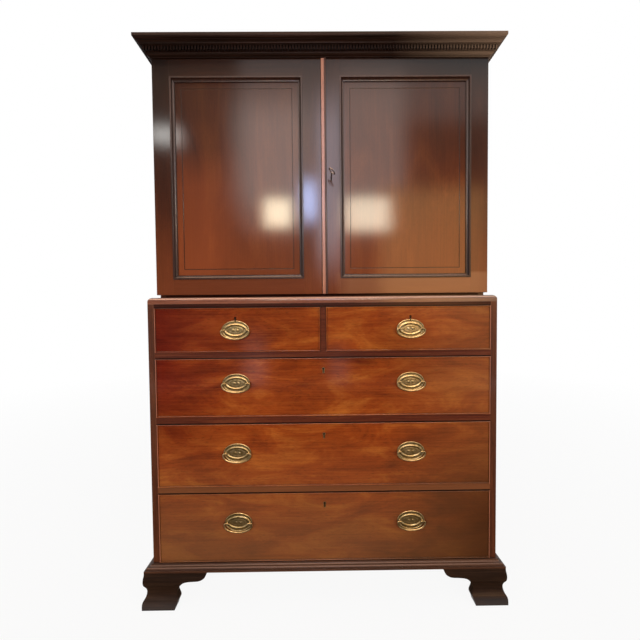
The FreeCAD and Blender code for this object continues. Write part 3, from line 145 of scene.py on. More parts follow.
def tube(line, radius, sides=14, flatten=1.0, normal=(0, 1, 0), closed=False):
    """A rod round a plane line: its section is an ellipse, radius across in the plane and radius x
    flatten along the plane's normal."""
    line = np.asarray(line, float)
    normal = np.asarray(normal, float)
    ahead = np.roll(line, -1, 0) - np.roll(line, 1, 0)
    if not closed:
        ahead[0], ahead[-1] = line[1] - line[0], line[-1] - line[-2]
    ahead /= np.linalg.norm(ahead, axis=1, keepdims=True)
    side = np.cross(ahead, normal)
    radius = np.broadcast_to(radius, len(line))[:, None, None]
    turn = np.linspace(0, 2 * np.pi, sides, endpoint=False)[None, :, None]
    points = line[:, None] + radius * (np.cos(turn) * side[:, None] + flatten * np.sin(turn) * normal)
    return points.reshape(-1, 3), grid_faces(len(line), sides, closed_rows=closed, closed_columns=True)


def block(low, high, bevel=0.5):
    """A box whose section across Y is a square with cut corners, carried from its front to its back
    and drawn in at both ends, so that all its long edges are eased."""
    (x0, y0, z0), (x1, y1, z1) = low, high
    b = bevel
    outline = np.array([
        (x0 + b, z0), (x1 - b, z0), (x1, z0 + b), (x1, z1 - b),
        (x1 - b, z1), (x0 + b, z1), (x0, z1 - b), (x0, z0 + b),
    ])
    middle = outline.mean(0)
    drawn_in = middle + (outline - middle) * (1 - 2 * b / np.array([x1 - x0, z1 - z0]))
    pole = middle + 0 * outline
    loops = [(pole, y0), (drawn_in, y0), (outline, y0 + b), (outline, y1 - b), (drawn_in, y1), (pole, y1)]
    points = [np.column_stack([loop[:, 0], np.full(8, y), loop[:, 1]]) for loop, y in loops]
    return np.concatenate(points), grid_faces(len(loops), 8, closed_columns=True)


# --------------------------------------------------------------------------------------- materials


def linear(text):
    """An sRGB hex colour as linear RGBA."""
    parts = [int(text[i : i + 2], 16) / 255 for i in (1, 3, 5)]
    return (*(p / 12.92 if p <= 0.04045 else ((p + 0.055) / 1.055) ** 2.4 for p in parts), 1.0)


def add(tree, kind, inputs=None, out=0, stops=(), **settings):
    """Adds a shader node and gives one of its outputs.  inputs holds values, hex colours or links by
    socket name or number, stops a ramp's (place, colour or grey), settings the node's properties."""
    item = tree.nodes.new(kind)
    for name, value in settings.items():
        setattr(item, name, value)
    for name, value in (inputs or {}).items():
        socket = item.inputs[name]
        if isinstance(value, bpy.types.NodeSocket):
            tree.links.new(value, socket)
        else:
            socket.default_value = linear(value) if isinstance(value, str) else value
    for index, (place, colour) in enumerate(stops):
        elements = item.color_ramp.elements
        element = elements[index] if index < len(elements) else elements.new(place)
        element.position = place
        element.color = linear(colour) if isinstance(colour, str) else (colour, colour, colour, 1)
    return item.outputs[out] if item.outputs else None


def new_material(name):
    material = bpy.data.materials.new(name)
    material.use_nodes = True
    material.node_tree.nodes.clear()
    return material, material.node_tree


def drawn_out(tree, vector, along, across, detail=2, roughness=0.5, distortion=0.0):
    """Noise whose features are along mm long in X and across mm wide in Y and Z."""
    scale = (1000 / along, 1000 / across, 1000 / across)
    stretched = add(tree, "ShaderNodeMapping", {0: vector, "Scale": scale})
    inputs = {0: stretched, "Scale": 1.0, "Detail": detail, "Roughness": roughness, "Distortion": distortion}
    return add(tree, "ShaderNodeTexNoise", inputs)


def along_grain(tree, grain, rails=None):
    """Gives X, Z and the object coordinates turned so that their X runs along the grain: "x", "y" or
    "z".  rails is (from, to, grain): boards that far from the middle, in mm, have the other grain."""
    place = add(tree, "ShaderNodeTexCoord", out="Object")
    x, y, z = add(tree, "ShaderNodeSeparateXYZ", {0: place}).node.outputs
    ways = {"x": {0: x, 1: y, 2: z}, "y": {0: y, 1: x, 2: z}, "z": {0: z, 1: y, 2: x}}
    vector = add(tree, "ShaderNodeCombineXYZ", ways[grain])
    if rails:
        start, end, other = rails
        far = add(tree, "ShaderNodeMath", {0: x}, operation="ABSOLUTE")
        past = add(tree, "ShaderNodeMath", {0: far, 1: start * MM}, operation="GREATER_THAN")
        short = add(tree, "ShaderNodeMath", {0: far, 1: end * MM}, operation="LESS_THAN")
        between = add(tree, "ShaderNodeMath", {0: past, 1: short}, operation="MULTIPLY")
        rail = add(tree, "ShaderNodeCombineXYZ", ways[other])
        vector = add(tree, "ShaderNodeMix", {0: between, 4: vector, 5: rail}, out=1, data_type="VECTOR")
    return x, z, vector


OVER = {"out": 2, "data_type": "RGBA"}  # a Mix node of two colours, and the output that has them


def panel_line(tree, x, z):
    """The dark line round a door's panel, 22 mm inside its moulding and 2 mm wide: where the larger of
    two distances, out of the line's upright sides and out of its level ones, is nearly nothing."""
    across = add(tree, "ShaderNodeMath", {0: x}, operation="ABSOLUTE")
    across = add(tree, "ShaderNodeMath", {0: across, 1: LINE_MIDDLE[0] * MM}, operation="SUBTRACT")
    across = add(tree, "ShaderNodeMath", {0: across}, operation="ABSOLUTE")
    across = add(tree, "ShaderNodeMath", {0: across, 1: LINE_HALF[0] * MM}, operation="SUBTRACT")
    up = add(tree, "ShaderNodeMath", {0: z, 1: LINE_MIDDLE[1] * MM}, operation="SUBTRACT")
    up = add(tree, "ShaderNodeMath", {0: up}, operation="ABSOLUTE")
    up = add(tree, "ShaderNodeMath", {0: up, 1: LINE_HALF[1] * MM}, operation="SUBTRACT")
    out = add(tree, "ShaderNodeMath", {0: across, 1: up}, operation="MAXIMUM")
    return add(tree, "ShaderNodeMath", {0: out, 1: 0.0, 2: 1.1 * MM}, operation="COMPARE")


def blade_gap_painted_shadow(tree, x, z):
    """Painted shadow on the lower edge of each blade, 3 mm up from the drawer's gap."""
    lines = 0.0
    for top in ROW_TOPS.values():
        line = add(tree, "ShaderNodeMath", {0: z, 1: (top + 1.5) * MM, 2: 1.6 * MM}, operation="COMPARE")
        lines = add(tree, "ShaderNodeMath", {0: line, 1: lines}, operation="MAXIMUM")
    return lines


def keyhole_painted_shade(tree, x, z):
    """The top drawers' keyholes have no threads: painted shade, a dark rim up to 3 mm wide, widens them."""
    across = add(tree, "ShaderNodeMath", {0: x}, operation="ABSOLUTE")
    across = add(tree, "ShaderNodeMath", {0: across, 1: PULL_X * MM, 2: 3.6 * MM}, operation="COMPARE")
    middle = (ROW_TOPS["top"] - LOCK_DROP - 5) * MM
    up = add(tree, "ShaderNodeMath", {0: z, 1: middle, 2: 11.5 * MM}, operation="COMPARE")
    return add(tree, "ShaderNodeMath", {0: across, 1: up}, operation="MULTIPLY")


def bead_painted_shade(tree, x, z):
    """Painted shade on the astragal's bead, to the right of its flat."""
    return add(tree, "ShaderNodeMath", {0: x, 1: 11.6 * MM}, operation="GREATER_THAN")


def cock_bead_painted_highlight(tree, x, z):
    """Painted highlight on the upright cock beads of the long drawers: the last 2.6 mm of the fronts."""
    across = add(tree, "ShaderNodeMath", {0: x}, operation="ABSOLUTE")
    return add(tree, "ShaderNodeMath", {0: across, 1: (FRONT_HALF - 2.6) * MM}, operation="GREATER_THAN")


def fading(way, full, none, most=1.0):
    """A place's share falls from most at full to nothing at none, in mm along way 0, X, or 1, Z."""

    def where(tree, x, z):
        ends = {0: (x, z)[way], 1: full * MM, 2: none * MM, 3: most, 4: 0.0}
        return add(tree, "ShaderNodeMapRange", ends)

    return where


def both(one, other):
    """The share of a place where two shares meet: their product."""

    def where(tree, x, z):
        shares = {0: one(tree, x, z), 1: other(tree, x, z)}
        return add(tree, "ShaderNodeMath", shares, operation="MULTIPLY")

    return where


# Mahogany, planed, filled and French polished with shellac.  To the eye: a soft striped figure some
# tens of mm wide, fine dark growth lines, open pores as short dark dashes, old dark wax and painted
# shade in every quirk, arrises rubbed paler, and a clear glossy skin that is not quite flat.
# a skin: coat weight, coat roughness, and the level of the gloss under the coat
GLOSSY = (0.55, 0.10, 0.2)
RUBBED = (0.22, 0.28, 0.2)


def polished_mahogany(
    name, colours, grain, figure, skin=GLOSSY, depth=0.6, lined=0.3, rub=0.4, rails=None, marks=()
):
    """colours: dark, middle and light.  figure: length and width of its stripes in mm.  depth, lined
    and rub: how strong the figure and the growth lines are, and how pale the arrises.  marks: (where,
    colour, blend) rows of colour laid over the wood, one over another, most of them painted light."""
    material, tree = new_material(name)
    x, height, vector = along_grain(tree, grain, rails)
    dark, middle, light = colours
    stripes = drawn_out(tree, vector, *figure, 6, 0.62, 0.8)
    spread = 0.16 / depth
    bands = ((0.5 - spread, dark), (0.5, middle), (0.5 + spread, light))
    colour = add(tree, "ShaderNodeValToRGB", {0: stripes}, stops=bands)
    # growth lines are 1 mm apart; they are drawn 4 mm wide so that they show
    lines = drawn_out(tree, vector, 230, 4, 3, 0.65, 0.4)
    lines = add(tree, "ShaderNodeValToRGB", {0: lines}, stops=((0.38, dark), (0.5, middle), (0.62, light)))
    colour = add(tree, "ShaderNodeMix", {0: lined, 6: colour, 7: lines}, **OVER)
    clouds = drawn_out(tree, vector, 330, 170)
    clouds = add(tree, "ShaderNodeValToRGB", {0: clouds}, stops=((0.40, 0.0), (0.70, 0.42)))
    colour = add(tree, "ShaderNodeMix", {0: clouds, 6: colour, 7: dark}, **OVER)
    # pores are 0.2 mm wide and 3 mm long; they are drawn 1.3 mm wide
    pores = drawn_out(tree, vector, 15, 1.3, 1)
    dashes = add(tree, "ShaderNodeValToRGB", {0: pores}, stops=((0.32, 0.36), (0.42, 0.0)))
    colour = add(tree, "ShaderNodeMix", {0: dashes, 6: colour, 7: "#1c0d08"}, **OVER)
    for where, stain, blend in marks:
        stained = {0: where(tree, x, height), 6: colour, 7: stain}
        colour = add(tree, "ShaderNodeMix", stained, **OVER, blend_type=blend)
    # old wax and painted shade in the quirks: darker where 9 mm of occlusion finds a hollow
    hollow = add(tree, "ShaderNodeAmbientOcclusion", {"Distance": 0.009}, out="AO", samples=6)
    wax_and_shade = add(tree, "ShaderNodeValToRGB", {0: hollow}, stops=((0.35, 0.85), (0.9, 0.0)))
    colour = add(tree, "ShaderNodeMix", {0: wax_and_shade, 6: colour, 7: "#120906"}, **OVER)
    # rubbed arrises: where the normal of a 1.2 mm round leaves the face's own
    eased = add(tree, "ShaderNodeBevel", {"Radius": 0.0012}, samples=4)
    face = add(tree, "ShaderNodeNewGeometry", out="True Normal")
    level = add(tree, "ShaderNodeVectorMath", {0: eased, 1: face}, out="Value", operation="DOT_PRODUCT")
    rubbed = add(tree, "ShaderNodeValToRGB", {0: level}, stops=((0.80, rub), (0.97, 0.0)))
    colour = add(tree, "ShaderNodeMix", {0: rubbed, 6: colour, 7: light}, **OVER)
    pits = {"Height": pores, "Normal": eased, "Strength": 0.1, "Distance": 0.0003}
    bump = add(tree, "ShaderNodeBump", pits)
    # the skin follows boards that are planed by hand, and its own orange peel, 6 mm wide
    waves = drawn_out(tree, vector, 110, 70)
    planed = {"Height": waves, "Normal": eased, "Strength": 0.08, "Distance": 0.0015}
    wavy = add(tree, "ShaderNodeBump", planed)
    peel = drawn_out(tree, vector, 9, 6, 1)
    shrunk = {"Height": peel, "Normal": wavy, "Strength": 0.06, "Distance": 0.0003}
    wavy = add(tree, "ShaderNodeBump", shrunk)
    finish = {
        "Base Color": colour,
        "Normal": bump,
        "Coat Normal": wavy,
        "Roughness": 0.45,
        "Specular IOR Level": skin[2],
        "Coat Weight": skin[0],
        "Coat Roughness": skin[1],
        "Coat IOR": 1.5,
    }
    add(tree, "ShaderNodeOutputMaterial", {0: add(tree, "ShaderNodeBsdfPrincipled", finish)})
    return material


def planed_board(name, colours, grain, pore):
    """Secondary wood, sawn and planed but never polished: matt and dusty, open grained, and painted
    shade where boards meet.  pore is the width of its grain lines in mm."""
    material, tree = new_material(name)
    _, _, vector = along_grain(tree, grain)
    dark, middle, light = colours
    stripes = drawn_out(tree, vector, 600, 28, 4, 0.6, 0.6)
    colour = add(tree, "ShaderNodeValToRGB", {0: stripes}, stops=((0.36, dark), (0.5, middle), (0.66, light)))
    lines = drawn_out(tree, vector, 120, pore)
    shade = add(tree, "ShaderNodeValToRGB", {0: lines}, stops=((0.36, 0.4), (0.48, 0.0)))
    colour = add(tree, "ShaderNodeMix", {0: shade, 6: colour, 7: dark}, **OVER)
    # painted shade: darker where 20 mm of occlusion finds a corner
    hollow = add(tree, "ShaderNodeAmbientOcclusion", {"Distance": 0.02}, out="AO", samples=6)
    corner_shade = add(tree, "ShaderNodeValToRGB", {0: hollow}, stops=((0.3, 0.6), (0.9, 0.0)))
    colour = add(tree, "ShaderNodeMix", {0: corner_shade, 6: colour, 7: "#2a1d12"}, **OVER)
    bump = add(tree, "ShaderNodeBump", {"Height": lines, "Strength": 0.25, "Distance": 0.0004})
    finish = {"Base Color": colour, "Normal": bump, "Roughness": 0.72, "Specular IOR Level": 0.3}
    add(tree, "ShaderNodeOutputMaterial", {0: add(tree, "ShaderNodeBsdfPrincipled", finish)})
    return material


def handled_metal(name, bright, dull, grime, roughness, spot):
    """Metal rubbed by hands: bright where it stands out, mottled with tarnish in spots of a size in
    mm, brown and rougher in its hollows, with a fine grain from casting or stamping."""
    material, tree = new_material(name)
    place = add(tree, "ShaderNodeTexCoord", out="Object")
    mottle = drawn_out(tree, place, spot, spot, 3, 0.6)
    colour = add(tree, "ShaderNodeValToRGB", {0: mottle}, stops=((0.36, dull), (0.6, bright)))
    hollow = add(tree, "ShaderNodeAmbientOcclusion", {"Distance": 0.003}, out="AO", samples=8)
    held = add(tree, "ShaderNodeValToRGB", {0: hollow}, stops=((0.25, 0.7), (0.7, 0.0)))
    colour = add(tree, "ShaderNodeMix", {0: held, 6: colour, 7: grime}, **OVER)
    rough = add(tree, "ShaderNodeMapRange", {0: held, 3: roughness, 4: roughness + 0.3})
    fine = drawn_out(tree, place, 0.9, 0.9)
    bump = add(tree, "ShaderNodeBump", {"Height": fine, "Strength": 0.1, "Distance": 0.0002})
    finish = {"Base Color": colour, "Normal": bump, "Metallic": 1.0, "Roughness": rough}
    add(tree, "ShaderNodeOutputMaterial", {0: add(tree, "ShaderNodeBsdfPrincipled", finish)})
    return material


# In marks, MULTIPLY darkens or tints the figure, and MIX lays a share of a colour over it.  Most
# marks are painted light: painted shade and a grey painted sheen high up, and warm or tan painted
# light lower down.
# near black: the dark line round each door panel's field, and painted shade and painted shadow in gaps and
# keyholes
LINE_AND_SHADE_DARK = "#140a07"
case_wood = polished_mahogany("mahogany_case_sides", ("#2f1308", "#4c2311", "#6a391c"), "z", (500, 40))
# blades and edges: thin facings, a paler tan painted reflection low down, darker over the top drawers
faced_wood = polished_mahogany(
    "mahogany_front_edges",
    ("#34120a", "#522212", "#69351c"),
    "x",
    (300, 12),
    skin=(0.3, 0.2, 0.08),
    marks=[
        (fading(1, 400, 560, 0.5), "#7c4e2e", "MIX"),
        (fading(1, 1052, 1045), "#a89c94", "MULTIPLY"),
        # painted shadow along each drawer's gap
        (blade_gap_painted_shadow, LINE_AND_SHADE_DARK, "MIX"),
    ],
)
# painted highlight: a paler copy of the mahogany for the light the waist's round catches, with a grey-brown
# painted sheen to the right
waist_wood_painted_highlight = polished_mahogany(
    "mahogany_waist_moulding",
    ("#4c2114", "#75402a", "#96604a"),
    "x",
    (300, 9),
    skin=(0.9, 0.16, 0.2),
    marks=[(fading(0, 560, 0, 0.6), "#5c4c40", "MIX")],
)
base_wood = polished_mahogany(
    "mahogany_base_moulding", ("#2a140c", "#432617", "#5c3825"), "x", (300, 9), skin=RUBBED
)
# painted shade: the panel mouldings wear a near-black copy of the mahogany for the shade in their quirks
moulding_wood_painted_shade = polished_mahogany(
    "mahogany_panel_mouldings", ("#170a06", "#28130d", "#422318"), "z", (300, 9), skin=(0.35, 0.2, 0.2)
)
# out of reach of the cloth: nearly no gloss; its near-black colours are painted shade high up
cornice_wood_painted_shade = polished_mahogany(
    "mahogany_cornice_dark",
    ("#0e0604", "#190c07", "#2e1912"),
    "x",
    (300, 10),
    skin=(0.02, 0.4, 0.05),
    rub=0.15,
    # painted light: the right end paler and greyer
    marks=[(fading(0, 620, 250, 0.8), "#6e5a4b", "MIX")],
)
feet_wood = polished_mahogany(
    "mahogany_feet_dark",
    ("#150b07", "#26170f", "#3b271b"),
    "x",
    (160, 14),
    skin=(0.15, 0.3, 0.15),
    rub=0.25,
)
door_wood = polished_mahogany(
    "mahogany_door_frames",
    ("#33150a", "#4e2412", "#69381d"),
    "z",
    (420, 60),
    skin=(0.65, 0.1, 0.08),
    depth=0.5,
    lined=0.16,
    rails=(PANEL_LEFT, PANEL_RIGHT, "x"),
    marks=[
        # painted light: greyer and darker upwards, on the outer left stile and the right top rail is painted
        # shade and grey painted sheen; the tan right bottom rail and warmer downwards are painted reflection
        (fading(1, 1900, 1250), "#868e8a", "MULTIPLY"),  # greyer upwards
        (both(fading(0, -560, -460), fading(1, 1850, 1300)), "#948c84", "MULTIPLY"),  # outer left stile
        (both(fading(0, 500, 60), fading(1, 1890, 1780)), "#8c7c74", "MULTIPLY"),  # right top rail
        (both(fading(0, 100, 40, 0.3), fading(1, 1166, 1176)), "#a8805e", "MIX"),  # right bottom rail
        (fading(1, 1110, 1400, 0.4), "#7c3c1a", "MIX"),  # warmer downwards
    ],
)
panel_wood = polished_mahogany(
    "mahogany_door_panels",
    ("#3c1809", "#5a270f", "#793f1b"),
    "z",
    (420, 110),
    skin=(0.7, 0.1, 0.08),
    depth=0.6,
    lined=0.16,
    marks=[
        # painted light: greyer upwards is painted shade and a grey painted sheen; warmer downwards and on the
        # left panel's side is painted reflection
        (fading(1, 1900, 1300), "#8e948c", "MULTIPLY"),  # greyer upwards
        (fading(1, 1160, 1450, 0.4), "#7e3e1a", "MIX"),  # warmer downwards
        (both(fading(0, -420, -250, 0.4), fading(1, 1480, 1620)), "#8a4424", "MIX"),  # left panel's side
        (panel_line, LINE_AND_SHADE_DARK, "MIX"),
    ],
)
# painted light: a pale copy of the mahogany for the highlight along the astragal's flat, and painted shade on
# its bead
astragal_wood_painted_light = polished_mahogany(
    "mahogany_astragal",
    ("#7c4630", "#a06550", "#b98468"),
    "z",
    (300, 8),
    marks=[(bead_painted_shade, "#3c1f16", "MIX")],
)
drawer_wood = polished_mahogany(
    "mahogany_drawer_fronts",
    ("#4a1405", "#84380e", "#aa6223"),
    "x",
    (240, 80),
    skin=(0.4, 0.12, 0.05),
    depth=0.66,
    lined=0.16,
    marks=[
        # painted light: redder top left where nothing pale is mirrored, a tan painted reflection downwards
        # and to the right, and painted shade at the bottom right
        (both(fading(0, -560, -180), fading(1, 800, 420)), "#b87058", "MULTIPLY"),  # redder top left
        (fading(1, 200, 600, 0.5), "#644c34", "MIX"),  # tan downwards
        (fading(0, 560, 200, 0.3), "#6e5030", "MIX"),  # tan to the right
        (both(fading(0, 560, 120), fading(1, 300, 720)), "#a89a8c", "MULTIPLY"),  # dark bottom right
        # painted highlight on the upright cock beads
        (cock_bead_painted_highlight, "#9c6450", "MIX"),
        # painted shade round the top drawers' keyholes
        (keyhole_painted_shade, LINE_AND_SHADE_DARK, "MIX"),
    ],
)
PINE = ("#7a5a38", "#977450", "#ab8a63")
pine = planed_board("aged_pine_boards", PINE, "x", 3.0)
pine_upright = planed_board("aged_pine_upright_boards", PINE, "z", 3.0)
oak = planed_board("aged_quartered_oak", ("#6b4c2c", "#8a6842", "#a17f56"), "y", 2.0)
oak_tray = planed_board("waxed_oak_trays", ("#6d4826", "#8c6238", "#a57b4c"), "x", 2.0)
brass = handled_metal("stamped_brass_lacquered", "#a69873", "#83754f", "#403520", 0.46, 9)
hinge_metal = handled_metal("rolled_brass_aged", "#a78450", "#7c5f36", "#3b2815", 0.42, 7)
lock_metal = handled_metal("forged_steel_aged", "#57524c", "#36322e", "#1a1410", 0.5, 8)
key_metal = handled_metal("cast_steel_handled", "#8c837a", "#564e47", "#1c1512", 0.3, 6)

WEARS = {
    "mahogany_case": case_wood,
    "mahogany_faced_pine": faced_wood,
    "pine_back": pine,
    "oak_inside": oak,
    "mahogany_moulding": moulding_wood_painted_shade,
    "mahogany_cornice": cornice_wood_painted_shade,
    "mahogany_feet": feet_wood,
    "oak_tray": oak_tray,
    "mahogany_door": door_wood,
    "mahogany_panel": panel_wood,
    "mahogany_astragal": astragal_wood_painted_light,
    "hinge_brass": hinge_metal,
    "lock_steel": lock_metal,
    "lock_brass": hinge_metal,
    "key_steel": key_metal,
    "mahogany_drawer": drawer_wood,
    "oak_drawer": oak,
    "pull_brass": brass,
    "bail_brass": brass,
}
# nodes that wear another wood than their slot says
OWN_WOOD = {"waist_moulding": waist_wood_painted_highlight, "base_moulding": base_wood, "upper_back": pine_upright}
for part in frame["record"]["subparts"]:
    node_mesh = nodes[part["node"]].data
    node_mesh.materials.clear()
    node_mesh.materials.append(OWN_WOOD.get(part["node"]) or WEARS[part["material_slot"]])

# ----------------------------------------------------------------------------------- oval brasses

# rings of the stamped plate from its edge to its middle: half length, half height, how far it
# stands out, and how pointed its ends are (0 an ellipse, 1 a leaf)
PLATE_RINGS = [
    (48.0, 33.4, 0.0, 0),
    (48.2, 33.5, 0.7, 0),
    (47.6, 33.0, 1.6, 0),
    (46.6, 32.1, 2.15, 0),
    (45.5, 31.0, 2.2, 0),
    (44.5, 30.0, 1.7, 0),
    (43.7, 29.2, 1.1, 0),
    (42.7, 28.0, 0.9, 0),
    (42.0, 25.6, 0.9, 0),
    (41.2, 23.2, 1.1, 0),
    (40.4, 21.6, 2.1, 0.05),
    (39.4, 20.4, 2.9, 0.1),
    (38.2, 19.4, 3.2, 0.15),
    (36.8, 18.4, 2.9, 0.25),
    (35.2, 17.2, 1.9, 0.35),
    (33.8, 16.2, 1.2, 0.4),
    (32.6, 15.2, 1.0, 0.4),
    (29.0, 13.4, 1.0, 0.4),
    (22.0, 10.0, 1.2, 0.3),
    (14.0, 6.4, 1.4, 0.2),
    (6.0, 2.8, 1.5, 0.0),
    (0.0, 0.0, 1.5, 0.0),
]


def pull_plate(centre_x, centre_z, key_drop=None):
    """The stamped plate is a height over rings of ovals: across = length x cos, up = height x sin,
    with |sin| drawn towards sin squared where the ends are pointed.  Two buds and a ring round them
    are raised in its field, on a ground stippled by a product of sines.  key_drop is where a
    keyhole's slot ends, above the plate's middle: from there up the plate is sunk into it."""
    rings = np.vstack([(0, 0, 0, 0), smooth_line(PLATE_RINGS, 84)])  # its back is flat
    turn = np.linspace(0, 2 * np.pi, 120, endpoint=False)
    if key_drop is not None:
        turn = np.sort(np.append(turn, np.pi / 2 + np.radians([-2.0, -1.62, 1.62, 2.0])))
    sine = np.sin(turn)
    length, height, out, point = (rings[:, k, None] for k in range(4))
    x = length * np.cos(turn)
    z = height * np.sign(sine) * ((1 - point) * np.abs(sine) + point * sine**2)
    out = np.broadcast_to(out, x.shape).copy()
    for bud in (-7, 7):
        out += 1.8 * np.exp(-((x - bud) ** 2 + z**2) / 9.0)
    inward = (x / 31) ** 2 + (z / 13.5) ** 2
    field = np.exp(-np.clip(inward - 0.85, 0, 9) / 0.05)
    stipple = 0.3 * np.sin(x * 2.3) * np.sin(z * 2.3 + 1)
    out += field * (stipple + 0.45 * np.exp(-((inward - 0.6) ** 2) / 0.02))
    if key_drop is not None:
        out[(np.abs(x) < 1.4) & (z > key_drop)] = -7.0
    points = np.stack([x + centre_x, FRONT - out, z + centre_z], -1)
    return points.reshape(-1, 3), grid_faces(*x.shape, closed_columns=True)[:, ::-1]


# a post from the plate to its tip: radius, and how far it stands out; its foot is closed
POST_PROFILE = [
    (3.7, 0.9), (3.6, 1.7), (2.9, 2.6), (2.2, 3.6), (2.1, 4.8), (2.7, 5.9),
    (3.3, 7.2), (3.5, 9.0), (3.2, 10.7), (2.2, 11.9), (0.9, 12.35), (0.0, 12.4),
]
POST_PROFILE = np.vstack([(0, 0.9), smooth_line(POST_PROFILE, 34)])


def pull_posts(centre_x, centre_z):
    """Two turned posts, each with a collar, a waist and a ball that holds the bail's pin."""
    feet = [(centre_x + side * POST_X, FRONT, centre_z) for side in (-1, 1)]
    return [turned(POST_PROFILE, foot, (0, -1, 0), 20) for foot in feet]


def bail_line():
    """The bail's centre line below its pivot: a short pin, a 4 mm corner, a side arc of 20 mm and
    one broad arc of 80 mm that meets both side arcs without a break."""
    span, drop, corner, side = 48.5, 31.2, 4.0, 20.0
    a, b = span - side, drop - corner
    broad = (a**2 + b**2 - side**2) / (2 * (b - side))
    meet = math.atan2(broad - b, a)
    arcs = (
        (span - corner, -corner, corner, math.pi / 2, 0.0, 8),
        (a, -corner, side, 0.0, -meet, 16),
        (0.0, broad - drop, broad, -meet, -math.pi / 2, 18),
    )
    half = [np.array([(POST_X + 3.28, 0.0), (POST_X + 3.3, 0.0)])]
    for x, z, radius, start, end, count in arcs:
        turn = np.linspace(start, end, count)
        half.append(np.column_stack([x + radius * np.cos(turn), z + radius * np.sin(turn)]))
    half = np.concatenate(half)
    keep = np.append(True, np.linalg.norm(np.diff(half, axis=0), axis=1) > 1e-6)
    half = half[keep]
    return np.vstack([half, (half * (-1, 1))[-2::-1]])


# a bail's pin, from inside its post to its head: radius, and how far out from the post it is
PIN_PROFILE = [
    (0.0, -9.0), (1.85, -9.0), (1.85, 0.0), (2.9, 0.0), (3.1, 0.5), (3.1, 1.2), (2.3, 1.8), (0.0, 1.8),
]


def bail_parts(centre_x, centre_z):
    """The bail's radius swells from 2.15 mm at its shoulders to 2.7 mm in the middle of its grip."""
    line = bail_line()
    share = np.sin(np.linspace(0, np.pi, len(line)))
    path = np.column_stack([line[:, 0] + centre_x, np.full(len(line), FRONT - PIVOT), line[:, 1] + centre_z])
    radius = 2.15 + 0.55 * share
    radius[[0, -1]] = 0  # both ends are closed, inside the pins' heads
    grip = tube(path, radius, 16)
    ends = []
    for side in (-1, 1):
        shoulder = (centre_x + side * (POST_X + 3.4), FRONT - PIVOT, centre_z)
        ends.append(turned(PIN_PROFILE, shoulder, (side, 0, 0), 18))
    return [grip, *ends]


EYE_RADIUS, SLOT_HALF, KEYHOLE_FLOOR = 3.4, 1.3, -13.6  # a drawer's keyhole, from its eye's middle


def keyhole_thread(centre_x, centre_z, wall=1.8, proud=0.5):
    """A thin brass thread let in round a keyhole: the outline of its eye and slot, with an outer
    line one wall away and its face a little proud."""
    turn = np.radians(np.linspace(-67.5, 247.5, 25))

    def outline(grow):
        eye = (EYE_RADIUS + grow) * np.column_stack([np.cos(turn), np.sin(turn)])
        half, floor = SLOT_HALF + grow, KEYHOLE_FLOOR - grow
        eye[0, 0], eye[-1, 0] = half, -half
        return np.vstack([eye, (-half, floor), (half, floor)])

    inner, outer = outline(0), outline(wall)
    y = np.repeat([FRONT + 2.0, FRONT - proud, FRONT - proud, FRONT + 2.0], len(inner))
    x, z = np.concatenate([inner, inner, outer, outer]).T
    points = np.column_stack([x + centre_x, y, z + centre_z])
    return points, grid_faces(4, len(inner), closed_rows=True, closed_columns=True)


# ---------------------------------------------------------------------------------------- the feet

TOE = 29  # how far a foot's toe stands out from the case
FOOT_TOP = 127
LAP = 4  # how far a foot's shaped faces reach in under the case
REAR_BOARD = 22
GLUE_BLOCK = 48
# the ogee of a foot's face: how far it stands out from the case, at a height
OGEE = [
    (TOE, 0), (TOE, 8), (28.8, 15), (28, 22.5), (25.9, 29), (22.5, 34.5), (19.4, 40.5),
    (17.3, 47.5), (16.3, 54), (16.2, 61), (17.6, 68), (20.8, 75.8), (24, 82.5), (25.6, 89),
    (26, 96.5), (25.6, 105), (24.6, 112), (23.4, 118), (22.8, FOOT_TOP),
]
# the cut edge of its bracket: along from the toe, and the height
BRACKET = [
    (113.5, 0), (115.6, 7), (118, 14), (121.3, 20.5), (123.4, 26.5), (123.6, 31), (122.6, 36),
    (120.8, 41), (118.6, 46), (117, 51), (116.6, 56), (118, 62), (121.6, 68.5), (126.6, 75.5),
    (132, 82.5), (137.2, 88.4), (143.3, 92.5), (153.6, 95.6), (170.9, 97.4), (188.3, 98.2),
    (198.7, 99.6), (207.4, 102.8), (215.2, 107.8), (220, 113.8), (222.2, 119.5), (223, FOOT_TOP),
]


